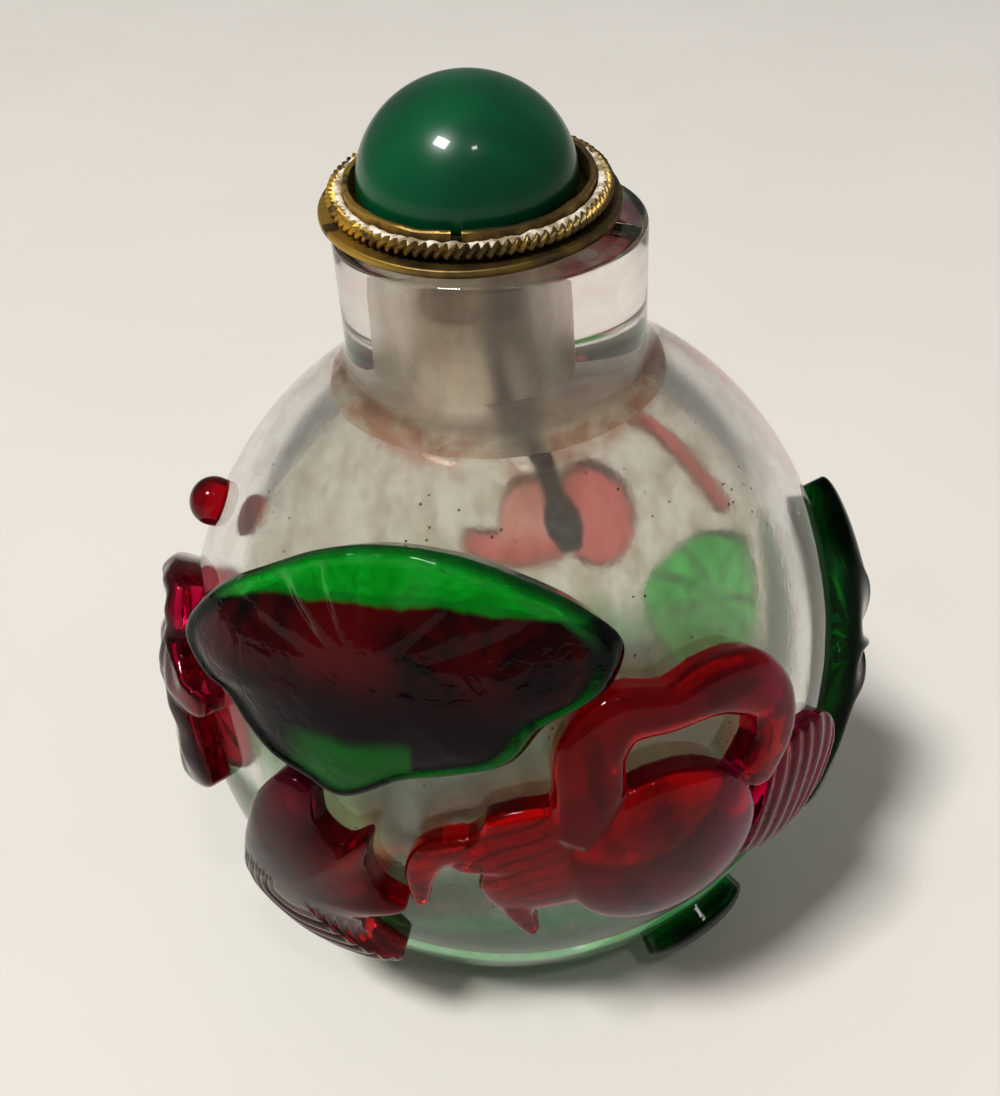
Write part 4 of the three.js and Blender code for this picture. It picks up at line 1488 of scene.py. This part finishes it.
@dataclass
class RibbedLeaf:
    """The ribbed ruby leaf low on the left, with ridges nested along its outer edge."""

    centre: tuple[float, float] = (-45.0, -12.0)
    thickness: float = 2.0
    ribs: int = 7
    rib_height: float = 0.34
    rib_side: float = -0.66 * math.pi
    outline: Knots = (
        (-42, 9), (-37, 8.2), (-36, 2), (-32, -0.5), (-27.5, 1.5), (-28.5, -4), (-27, -8.3), (-23, -11.4),
        (-27, -13.8), (-31, -16.1), (-33, -21.3), (-29, -29.5), (-38, -31.5), (-49, -32.6), (-58.5, -30),
        (-63.5, -24.5), (-62, -18), (-57, -10), (-52.5, -3), (-48, 4),
    )

    def relief(self, share: np.ndarray, angle: np.ndarray) -> np.ndarray:
        """Work out ridges that follow the outer edge.

        Args:
            share: share of the way out from the centre.
            angle: angle round the centre.

        Returns:
            The heights to add.
        """
        outer = smooth(-0.1, 0.5, np.cos(angle - self.rib_side))
        wave = np.abs(np.cos(math.pi * self.ribs * share)) ** 0.7 - 0.6
        return self.rib_height * outer * smooth(0.15, 0.4, share) * smooth(1.0, 0.9, share) * wave

    def build(self) -> bpy.types.Object:
        """Make the leaf and dress it.

        Returns:
            The piece.
        """
        lump = Lump(curve_through(self.outline, 320, True), self.centre, self.thickness, self.relief, 90)
        piece = lump.build("ruby_ribbed_leaf_glass")
        bearing, latitude, _ = mark(piece)
        bright = 0.85 * smooth(-38.0, -31.0, bearing) * smooth(2.0, -3.0, latitude)
        purple = 0.5 * smooth(-47.0, -42.0, bearing) * smooth(1.0, 4.0, latitude)
        dark = 0.5 * smooth(-44.0, -52.0, bearing)
        shade(piece, bright, purple, dark)
        finish_piece(piece, [RIBBED.make()], ["ruby_ribbed_leaf"])
        return piece


@dataclass
class LeftFlower:
    """The open ruby flower on the left edge, two dished petals."""

    thickness: float = 2.2
    dish: float = 0.9
    dish_share: float = 0.75
    folds: int = 9
    fold_depth: float = 0.10
    upper_centre: tuple[float, float] = (-85.0, 17.5)
    upper: Knots = (
        (-77, 25.2), (-73.5, 22), (-72, 18), (-66, 15), (-61, 13.7), (-61.5, 11), (-68, 9), (-80, 8),
        (-95, 8.5), (-104, 13), (-103, 18), (-95, 22.5), (-85, 25.5),
    )
    lower_centre: tuple[float, float] = (-84.0, 2.0)
    lower: Knots = (
        (-67, 9), (-64, 4), (-63, -1.5), (-68, -5), (-77, -8), (-90, -9.5), (-102, -6), (-107, 2),
        (-103, 9), (-92, 12), (-78, 12),
    )

    def relief(self, share: np.ndarray, angle: np.ndarray) -> np.ndarray:
        """Hollow the middle of the petal, with faint folds."""
        hollow = -self.dish * np.cos(0.5 * math.pi * np.clip(share / self.dish_share, 0, 1))
        return hollow + self.fold_depth * np.sin(math.pi * np.clip(share, 0, 1)) * np.cos(self.folds * angle)

    def build(self) -> bpy.types.Object:
        """Make the flower and dress it.

        Returns:
            The piece.
        """
        upper = Lump(curve_through(self.upper, 200, True), self.upper_centre, self.thickness, self.relief)
        lower = Lump(curve_through(self.lower, 200, True), self.lower_centre, self.thickness, self.relief)
        piece = join([upper.build("ruby_flower_left_glass"), lower.build("flower_lower")])
        melt_together(piece)
        _, latitude, out = mark(piece)
        high = smooth(7.0, 11.0, latitude)
        shade(piece, np.zeros_like(high), 0.12 * high, 0.45 * (1.0 - high) * smooth(0.6, 1.4, out))
        finish_piece(piece, [FLOWER.make()], ["ruby_flower_left"])
        return piece


@dataclass
class Bud:
    """The round ruby bud above the flower, domed down to the wall."""

    centre: tuple[float, float] = (-88, 35.5)
    half: tuple[float, float] = (6.2, 3.5)
    thickness: float = 1.6
    edge_share: float = 0.02
    fullness: float = 2.0

    def build(self) -> bpy.types.Object:
        """Make the bud and dress it.

        Returns:
            The piece.
        """
        line = oval(self.centre, self.half, 128)
        lump = Lump(line, self.centre, self.thickness, flat_relief, 56, self.edge_share, self.fullness)
        piece = lump.build("ruby_bud_glass")
        mark(piece)
        finish_piece(piece, [RUBY.make()], ["ruby_bud"])
        return piece


@dataclass
class GreenLeaf:
    """A small leaf of one green, with or without veins, named after its node."""

    node: str
    outline: Knots
    centre: tuple[float, float]
    thickness: float
    glass: OverlayGlass
    veins: int = 0

    def build(self) -> bpy.types.Object:
        """Make the leaf and dress it.

        Returns:
            The piece.
        """
        line = curve_through(self.outline, 256, True)
        relief = Veins(self.veins).at if self.veins else flat_relief
        piece = Lump(line, self.centre, self.thickness, relief, 56).build(f"{self.node}_glass")
        mark(piece)
        finish_piece(piece, [self.glass.make()], [self.node])
        return piece


GREEN_LEAVES = (
    GreenLeaf("lotus_leaf_right", (
        (89, 22.5), (84, 15), (79.5, 4.5), (75, -6.5), (70.5, -17), (70, -25), (76, -29), (87, -28),
        (97, -21), (103, -9), (106, 5), (104.5, 15.5), (99, 22.5), (94, 25),
    ), (90.5, -1.5), 2.5, DEEP_GREEN, veins=7),
    GreenLeaf("green_leaf_by_foot", (
        (30, -43.5), (37, -39.5), (46, -37.5), (55, -38), (61, -42), (59, -47), (48, -51), (36, -50),
        (30, -47),
    ), (46, -44.5), 1.9, DEEP_GREEN),
    GreenLeaf("green_leaf_back", (
        (116, 9), (124, 7.5), (133, 3.5), (140, -3), (145, -9.5), (143, -17), (134, -23), (124, -25),
        (115, -20), (111, -11), (112, 0),
    ), (127, -9), 1.8, BACK_GREEN, veins=7),
    GreenLeaf("green_leaf_back_left", (
        (-95, -17), (-98, -26), (-111, -32), (-130, -32), (-145, -26), (-152, -16), (-150, -6),
        (-141, 1), (-128, 2.5), (-112, -5),
    ), (-125, -16), 1.8, BACK_GREEN, veins=7),
)


@dataclass
class BackFlower:
    """The ruby flower on the back, faded at its left, and the slim petal beside it."""

    thickness: float = 1.8
    band_share: float = 0.8
    fold_count: int = 7
    fold_depth: float = 0.05
    faded_share: float = 0.45
    petals: tuple[tuple[tuple[float, float], tuple[float, float]], ...] = (
        ((157, 3.5), (9.5, 11.5)),
        ((171, 1.5), (8.5, 9.5)),
    )
    side_petal: Knots = ((165, -3, 1.9), (176, -5, 1.9), (188, -2, 1.0))
    slim_petal: Knots = ((145, 31, 0.5), (137, 29, 0.9), (129, 22, 1.1), (121, 13.5, 0.9))

    def folds(self, share: np.ndarray, angle: np.ndarray) -> np.ndarray:
        """Work out folds from the petal's middle outwards."""
        return self.fold_depth * np.sin(math.pi * np.clip(share, 0, 1)) * np.cos(self.fold_count * angle)

    def build(self) -> list[bpy.types.Object]:
        """Make both pieces and dress them.

        Returns:
            The flower and the slim petal.
        """
        band = self.band_share * self.thickness
        parts = [
            Lump(oval(centre, half, 140), centre, self.thickness, self.folds).build(f"back_petal_{index}")
            for index, (centre, half) in enumerate(self.petals)
        ]
        parts.append(Band(self.side_petal, band).build("back_side_petal"))
        flower = join(parts)
        flower.name = "ruby_flower_back_glass"
        melt_together(flower)
        slim = Band(self.slim_petal, band, sections=120).build("ruby_slim_petal_back_glass")
        for piece, node in ((flower, "ruby_flower_back"), (slim, "ruby_slim_petal_back")):
            bearing, latitude, _ = mark(piece)
            faded = smooth(161.0, 167.0, bearing) * smooth(-5.0, -1.0, latitude)
            nothing = np.zeros_like(faded)
            shade(piece, self.faded_share * faded, nothing, nothing)
            finish_piece(piece, [BACK_RUBY.make()], [node])
        return [flower, slim]


@dataclass(frozen=True)
class GiltBrass:
    """Worn gilt brass: yellow where it is rubbed, yellower towards the left, and brown tarnish elsewhere."""

    name: str
    gold: Colour = (0.58, 0.38, 0.07)
    brown: Colour = (0.12, 0.085, 0.040)
    worn: Span = (0.36, 0.62)
    worn_share: float = 0.25
    left_mm: Span = (-3.0, -8.0)
    left_share: float = 0.8

    def make(self) -> bpy.types.Material:
        """Join up the material.

        Returns:
            The material.
        """
        shader = Shader(self.name)
        worn = shader.rise(shader.noise(2.6, 6.0, 0.6), *self.worn)
        left = shader.product(shader.rise_mm(shader.axis("X"), self.left_mm), shader.rise(worn, 0.0, 0.4))
        left = shader.product(left, self.left_share)
        share = shader.maths("MAXIMUM", left, shader.product(worn, self.worn_share))
        shader.set(Base_Color=shader.mix(share, self.brown, self.gold), Metallic=0.85)
        shader.roughen(0.28, shader.noise(0.8, 4.0), 0.3)
        shader.bump(shader.noise(0.5, 5.0), 0.03, 0.7)
        return shader.material


@dataclass(frozen=True)
class PolishedStone:
    """The dome: deep green, clouded, with a wet polish."""

    deep: Colour = (0.0003, 0.058, 0.021)
    light: Colour = (0.002, 0.105, 0.040)
    cloud_mm: float = 8.0
    clouds: Span = (0.30, 0.75)

    def make(self) -> bpy.types.Material:
        """Join up the material.

        Returns:
            The material.
        """
        shader = Shader("green_stone")
        clouds = shader.rise(shader.noise(self.cloud_mm, 2.0, 0.5), *self.clouds)
        shader.set(Base_Color=shader.mix(clouds, self.deep, self.light))
        shader.set(Roughness=0.30, IOR=1.54, Specular_IOR_Level=0.2)
        shader.set(Coat_Weight=0.5, Coat_Roughness=0.06, Coat_IOR=1.35)
        shader.set(Subsurface_Weight=0.15, Subsurface_Scale=0.002, Subsurface_Radius=(0.2, 1.0, 0.5))
        shader.bump(shader.noise(1.5, 3.0), 0.02, 0.3)
        return shader.material


@dataclass(frozen=True)
class DryMatter:
    """A matt finish of two mottled colours, for residue, cork and bone."""

    name: str
    light: Colour
    dark: Colour
    grain_mm: float
    bump_mm: float
    roughness: float = 0.75

    def make(self) -> bpy.types.Material:
        """Join up the material.

        Returns:
            The material.
        """
        shader = Shader(self.name)
        grain = shader.noise(self.grain_mm, 6.0, 0.4)
        shader.set(Base_Color=shader.mix(shader.rise(grain, 0.38, 0.62), self.light, self.dark))
        shader.roughen(self.roughness, grain, 0.2)
        shader.bump(grain, self.bump_mm, 0.8)
        return shader.material


CHALK = DryMatter("polish_residue", (0.78, 0.73, 0.62), (0.30, 0.23, 0.14), 0.8, 0.12)
CORK = DryMatter("cork", (0.42, 0.29, 0.17), (0.16, 0.10, 0.055), 0.7, 0.12)
BONE = DryMatter("spoon_bone", (0.10, 0.085, 0.075), (0.02, 0.017, 0.015), 0.8, 0.05, 0.5)


@dataclass
class Stopper:
    """The stopper: disc, split strip, twisted wire, residue, domed stone, cork and spoon."""

    rim: float = 58.3
    shift: tuple[float, float] = (-0.95, 0.7)
    tip: float = math.radians(4.5)
    seat_gap: float = 0.02
    sunk: float = 0.02
    disc_radius: float = 8.65
    disc_thickness: float = 0.5
    disc_edge: float = 0.15
    disc_unevenness: float = 0.006
    strip_radius: float = 7.1
    strip_wall: float = 0.35
    strip_height: float = 1.1
    strip_bevel: float = 0.08
    split_angle: float = 4.5
    split_bearing: float = -10.0
    wire_thickness: float = 0.84
    twists: int = 88
    strand_fullness: float = 1.12
    wire_tuck: float = 0.12
    wire_sink: float = 0.1
    residue_seed: int = 7
    residue_width: float = 0.32
    residue_out: float = 0.26
    residue_foot: float = 0.35
    residue_height: float = 0.46
    residue_roughness: float = 0.42
    dome_radius: float = 6.3
    dome_rise: float = 5.9
    girdle: float = 0.5
    dome_shift: tuple[float, float] = (-0.1, 0.15)
    cork_radius: float = 3.35
    cork_length: float = 4.3
    cork_taper: float = 0.25
    bore_shift: float = -0.9
    spoon_length: float = 22.0
    spoon_stem: float = 1.4
    spoon_bowl: float = 2.6
    spoon_half_thickness: float = 0.35
    spoon_dish: float = 0.22
    bowl_start: float = 0.78
    spoon_shift: float = 0.5
    spoon_lean: float = math.radians(13.0)
    spoon_set_back: float = 1.9

    def place(self, piece: bpy.types.Object) -> None:
        """Tip a piece with the stopper and set it on the rim.

        Args:
            piece: the piece, with the disc's underside at its origin.
        """
        lift = self.rim + self.seat_gap + self.disc_radius * math.sin(self.tip)
        turn = Matrix.Rotation(self.tip, 4, "X")
        piece.data.transform(Matrix.Translation((self.shift[0], self.shift[1], lift)) @ turn)

    def lathe(self, name: str, profile: Knots, around: int = 160) -> bpy.types.Object:
        """Turn a profile about the axis.

        Args:
            name: the piece's name.
            profile: radius and height of its points, the first and last on the axis.
            around: how many points go round.

        Returns:
            The piece.
        """
        angle = np.linspace(0.0, 2 * math.pi, around, endpoint=False)
        line = np.array(profile, float)
        rings = np.stack([
            line[1:-1, 0, None] * np.cos(angle),
            line[1:-1, 0, None] * np.sin(angle),
            np.repeat(line[1:-1, 1, None], around, axis=1),
        ], axis=2)
        return shell_from_rings(name, rings, np.array([0, 0, line[0, 1]]), np.array([0, 0, line[-1, 1]]))

    def disc(self) -> None:
        """Make the disc, a little uneven at its edge."""
        edge, deep, out = self.disc_edge, self.disc_thickness, self.disc_radius
        profile = [(0, 0)] + [(share * (out - edge), 0) for share in (0.4, 0.7, 0.9, 1.0)]
        for turn in np.linspace(-0.5 * math.pi, 0.5 * math.pi, 9):
            side = deep - edge if turn > 0 else edge
            profile.append((out - edge + edge * math.cos(turn), side + edge * math.sin(turn)))
        profile += [(share * (out - edge), deep) for share in (1.0, 0.9, 0.7, 0.4)] + [(0, deep)]
        piece = self.lathe("stopper_disc_gilt", profile)
        points = points_of(piece)
        angle = np.arctan2(points[:, 1], points[:, 0])
        reach = np.hypot(points[:, 0], points[:, 1]) / out
        shrink = self.disc_unevenness * smooth(0.8, 1.0, reach) * (1 + np.sin(5 * angle + 1))
        points[:, :2] *= (1 - shrink)[:, None]
        move_points(piece, points)
        self.place(piece)
        finish_piece(piece, [GiltBrass("gilt_brass").make()], ["stopper_disc"])

    def strip(self) -> None:
        """Make the strip, open at its split, from its foot on the disc."""
        low = self.disc_thickness - self.sunk
        high = self.disc_thickness + GAP + self.strip_height
        start = math.radians(self.split_bearing - 90 + 0.5 * self.split_angle)
        angle = start + math.radians(360 - self.split_angle) * np.linspace(0, 1, 180)
        inner, outer = self.strip_radius - self.strip_wall, self.strip_radius
        bevel = self.strip_bevel
        corners = [
            (inner, low), (outer, low), (outer, high - bevel), (outer - bevel, high),
            (inner + bevel, high), (inner, high - bevel),
        ]
        wobble = 0.05 * np.sin(7 * angle) + 0.03 * np.sin(17 * angle + 2)
        across, forward = np.cos(angle), np.sin(angle)
        rings = np.stack([
            np.stack([radius * across, radius * forward, height + wobble * (height > low)], axis=1)
            for radius, height in corners
        ], axis=1)
        rings[:, :, 2] = np.minimum(rings[:, :, 2], high)
        piece = shell_from_rings("stopper_strip_gilt", rings, rings[0].mean(0), rings[-1].mean(0))
        self.place(piece)
        finish_piece(piece, [GiltBrass("gilt_strip").make()], ["stopper_strip"])

    def wire(self) -> None:
        """Make the wire, two strands twisted round each other."""
        strand = 0.25 * self.wire_thickness
        ring = self.strip_radius + GAP + 0.5 * self.wire_thickness - self.wire_tuck
        level = self.disc_thickness + GAP + 0.5 * self.wire_thickness - self.wire_sink
        around = self.twists * 10
        angle = 2 * math.pi * np.arange(around) / around
        turn = 2 * math.pi * np.arange(8) / 8
        strands = []
        for side in (0.0, math.pi):
            phase = 0.5 * self.twists * angle + side
            centre = ring + strand * np.cos(phase)
            height = level + strand * np.sin(phase)
            radius = centre[:, None] + strand * self.strand_fullness * np.cos(turn)
            sections = np.stack([
                radius * np.cos(angle)[:, None], radius * np.sin(angle)[:, None],
                height[:, None] + strand * self.strand_fullness * np.sin(turn),
            ], axis=2)
            strands.append(hoop_from_sections("stopper_wire_gilt", sections))
        piece = join(strands)
        self.place(piece)
        finish_piece(piece, [GiltBrass("gilt_wire").make()], ["stopper_twisted_wire"])

    def residue(self) -> None:
        """Make the pale polish residue that lies between the strip and the wire."""
        around, turn = 480, 2 * math.pi * np.arange(10) / 10
        angle = 2 * math.pi * np.arange(around) / around
        rng = np.random.default_rng(self.residue_seed)
        rough = np.convolve(np.tile(rng.random(around), 3), np.ones(5) / 5, "same")[around:2 * around]
        middle = self.strip_radius + self.residue_out + 0.12 * rough
        high = self.residue_height + self.residue_roughness * rough
        reach = middle[:, None] + self.residue_width * np.cos(turn)
        sections = np.stack([
            reach * np.cos(angle)[:, None],
            reach * np.sin(angle)[:, None],
            self.disc_thickness + self.residue_foot + high[:, None] * (0.5 + 0.5 * np.sin(turn)),
        ], axis=2)
        piece = hoop_from_sections("stopper_polish_residue", sections)
        self.place(piece)
        finish_piece(piece, [CHALK.make()], [])

    def dome(self) -> None:
        """Make the domed stone: a short girdle under a smooth crown."""
        low = self.disc_thickness - self.sunk
        high = self.disc_thickness + GAP + self.girdle
        radius = self.dome_radius
        profile = [(0, low)] + [(share * (radius - self.girdle), low) for share in (0.5, 0.8, 1.0)]
        for share in (0.33, 0.66):
            profile.append((radius - self.girdle * (1 - share), low + share * (high - low)))
        for lift in np.linspace(0, 0.5 * math.pi, 40)[:-1]:
            profile.append((radius * math.cos(lift), high + self.dome_rise * math.sin(lift)))
        profile.append((0, high + self.dome_rise))
        piece = self.lathe("stopper_dome_stone", profile)
        piece.data.transform(Matrix.Translation((*self.dome_shift, 0)))
        self.place(piece)
        finish_piece(piece, [PolishedStone().make()], ["stopper_dome"])

    def cork(self) -> None:
        """Make the cork with a pitted side."""
        out, long, taper = self.cork_radius, self.cork_length + GAP, self.cork_taper
        profile = [(0, -self.sunk)] + [(share * out, -self.sunk) for share in (0.5, 0.9, 1.0)]
        for share in np.linspace(0.05, 0.95, 18):
            profile.append((out - share * taper, -share * long))
        profile += [(share * (out - taper), -long) for share in (1.0, 0.9, 0.5)] + [(0, -long)]
        piece = self.lathe("stopper_cork_plug", profile)
        middle = -GAP - 0.5 * self.cork_length
        side = -self.shift[1] + math.sin(self.tip) * middle
        into_bore = Matrix.Translation((self.bore_shift - self.shift[0], side / math.cos(self.tip), 0))
        piece.data.transform(into_bore)
        self.place(piece)
        finish_piece(piece, [CORK.make()], ["stopper_cork"])

    def spoon(self) -> None:
        """Make the spoon, a slim stem that widens to a shallow bowl."""
        sections, sides = 90, 24
        share = np.linspace(0, 1, sections)
        bowl = np.clip((share - self.bowl_start) / (1 - self.bowl_start), 0, 1)
        swell = np.sin(math.pi * np.minimum(0.92, bowl))
        half = 0.5 * (self.spoon_stem + (self.spoon_bowl - self.spoon_stem) * swell)
        angle = 2 * math.pi * np.arange(sides) / sides
        thick = self.spoon_half_thickness * (1 + 0.15 * np.sin(40 * share))
        dish = self.spoon_dish * swell[:, None] * (1 - np.cos(angle) ** 2) * (np.sin(angle) < 0)
        rings = np.stack([
            half[:, None] * np.cos(angle),
            thick[:, None] * np.sin(angle) + dish,
            np.repeat(-share[:, None] * self.spoon_length, sides, axis=1),
        ], axis=2)
        piece = shell_from_rings("stopper_spoon_bone", rings, rings[0].mean(0), rings[-1].mean(0))
        top = self.rim - GAP + self.disc_radius * math.sin(self.tip) - self.cork_length
        lean = Matrix.Rotation(-self.spoon_lean, 4, "Y")
        hang = Matrix.Translation((self.bore_shift + self.spoon_shift, self.spoon_set_back, top))
        piece.data.transform(hang @ lean)
        finish_piece(piece, [BONE.make()], ["stopper_spoon"])

    def build(self) -> None:
        """Make all pieces of the stopper."""
        for make in (self.disc, self.strip, self.wire, self.residue, self.dome, self.cork, self.spoon):
            make()


@dataclass(frozen=True)
class Lamp:
    """A soft oblong lamp that points at the bottle, in metres and watts."""

    name: str
    place: tuple[float, float, float]
    size: tuple[float, float]
    power: float
    tint: Colour

    def hang(self) -> None:
        """Make the lamp and turn it towards the bottle."""
        data = bpy.data.lights.new(self.name, "AREA")
        data.shape = "RECTANGLE"
        data.size, data.size_y = self.size
        data.energy = self.power
        data.color = self.tint
        lamp = bpy.data.objects.new(self.name, data)
        lamp.location = self.place
        aim = Vector((0.0, 0.0, LEVEL * MM)) - Vector(self.place)
        lamp.rotation_euler = aim.to_track_quat("-Z", "Y").to_euler()
        bpy.context.scene.collection.objects.link(lamp)


@dataclass(frozen=True)
class FloorPaper:
    """The floor's pale matt paper, faintly clouded."""

    light: Colour = (0.775, 0.747, 0.700)
    dark: Colour = (0.76, 0.732, 0.685)
    cloud_mm: float = 40.0

    def make(self) -> bpy.types.Material:
        """Join up the material.

        Returns:
            The material.
        """
        shader = Shader("floor_paper")
        grain = shader.noise(self.cloud_mm, 2.0)
        shader.set(Base_Color=shader.mix(shader.rise(grain, 0.3, 0.7), self.light, self.dark))
        shader.set(Roughness=0.7)
        return shader.material


@dataclass
class Studio:
    """The floor, the dim room, the lamps and the camera."""

    focal_px: float = 1300.0
    frame_height_px: float = 1096.0
    sensor_mm: float = 36.0
    pitch: float = math.radians(36.79)
    roll: float = math.radians(-3.67)
    distance: float = 87.516
    look: tuple[float, float, float] = (-0.585, 0.0, 9.99)
    turn: float = math.radians(3.2)
    nearest: float = 0.005
    floor_size: float = 4.0
    room: float = 0.23
    room_tint: Colour = (1.0, 0.985, 0.96)
    contrast: float = 0.86
    lamps: tuple[Lamp, ...] = (
        Lamp("window", (-0.55, -0.46, 1.40), (0.34, 0.24), 23.5, (1.0, 0.985, 0.965)),
        Lamp("second_window", (0.18, -0.75, 1.35), (0.12, 0.08), 1.6, (1.0, 0.98, 0.95)),
    )

    def camera(self) -> None:
        """Place the camera where the photograph was taken from."""
        forward = Vector((0.0, math.cos(self.pitch), -math.sin(self.pitch)))
        right = Vector((1.0, 0.0, 0.0))
        above = right.cross(forward)
        side = math.cos(self.roll) * right + math.sin(self.roll) * above
        top = -math.sin(self.roll) * right + math.cos(self.roll) * above
        back = Matrix.Rotation(-self.turn, 3, "Z")
        eye = back @ (Vector(self.look) - self.distance * forward) + Vector((0.0, 0.0, LEVEL))
        axes = Matrix((back @ side, back @ top, back @ -forward)).transposed()
        data = bpy.data.cameras.new("camera")
        data.sensor_width = self.sensor_mm
        data.lens = self.sensor_mm * self.focal_px / self.frame_height_px
        data.clip_start = self.nearest
        camera = bpy.data.objects.new("camera", data)
        camera.matrix_world = Matrix.Translation(eye * MM) @ axes.to_4x4()
        bpy.context.scene.collection.objects.link(camera)
        bpy.context.scene.camera = camera

    def floor(self) -> None:
        """Lay a plain pale floor."""
        deselect_all()
        bpy.ops.mesh.primitive_plane_add(size=self.floor_size)
        floor = bpy.context.object
        floor.name = "floor"
        floor.data.materials.append(FloorPaper().make())

    def light_paths(self) -> None:
        """Let light pass through all the walls of glass, and set the picture's contrast."""
        scene = bpy.context.scene
        scene.view_settings.view_transform = "Standard"
        scene.view_settings.gamma = self.contrast
        scene.cycles.max_bounces = 24
        scene.cycles.transmission_bounces = 24
        scene.cycles.glossy_bounces = 8
        scene.cycles.transparent_max_bounces = 16

    def build(self) -> None:
        """Set up floor, room, lamps and camera."""
        self.floor()
        world = bpy.data.worlds.new("soft_room")
        bpy.context.scene.world = world
        world.use_nodes = True
        background = world.node_tree.nodes["Background"]
        background.inputs["Color"].default_value = (*self.room_tint, 1.0)
        background.inputs["Strength"].default_value = self.room
        for lamp in self.lamps:
            lamp.hang()
        self.light_paths()
        self.camera()
        LOG.info("studio: %d lamps", len(self.lamps))


def main() -> None:
    """Build the whole object round the frame."""
    logging.basicConfig(level=logging.INFO, format="%(message)s")
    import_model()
    Studio().build()
    GlassBody().build()
    FootRing().build()
    FrontLeaf().build()
    WaterBird().build()
    RibbedLeaf().build()
    LeftFlower().build()
    Bud().build()
    for leaf in GREEN_LEAVES:
        leaf.build()
    BackFlower().build()
    Stopper().build()
    deselect_all()


if __name__ == "__main__":
    main()
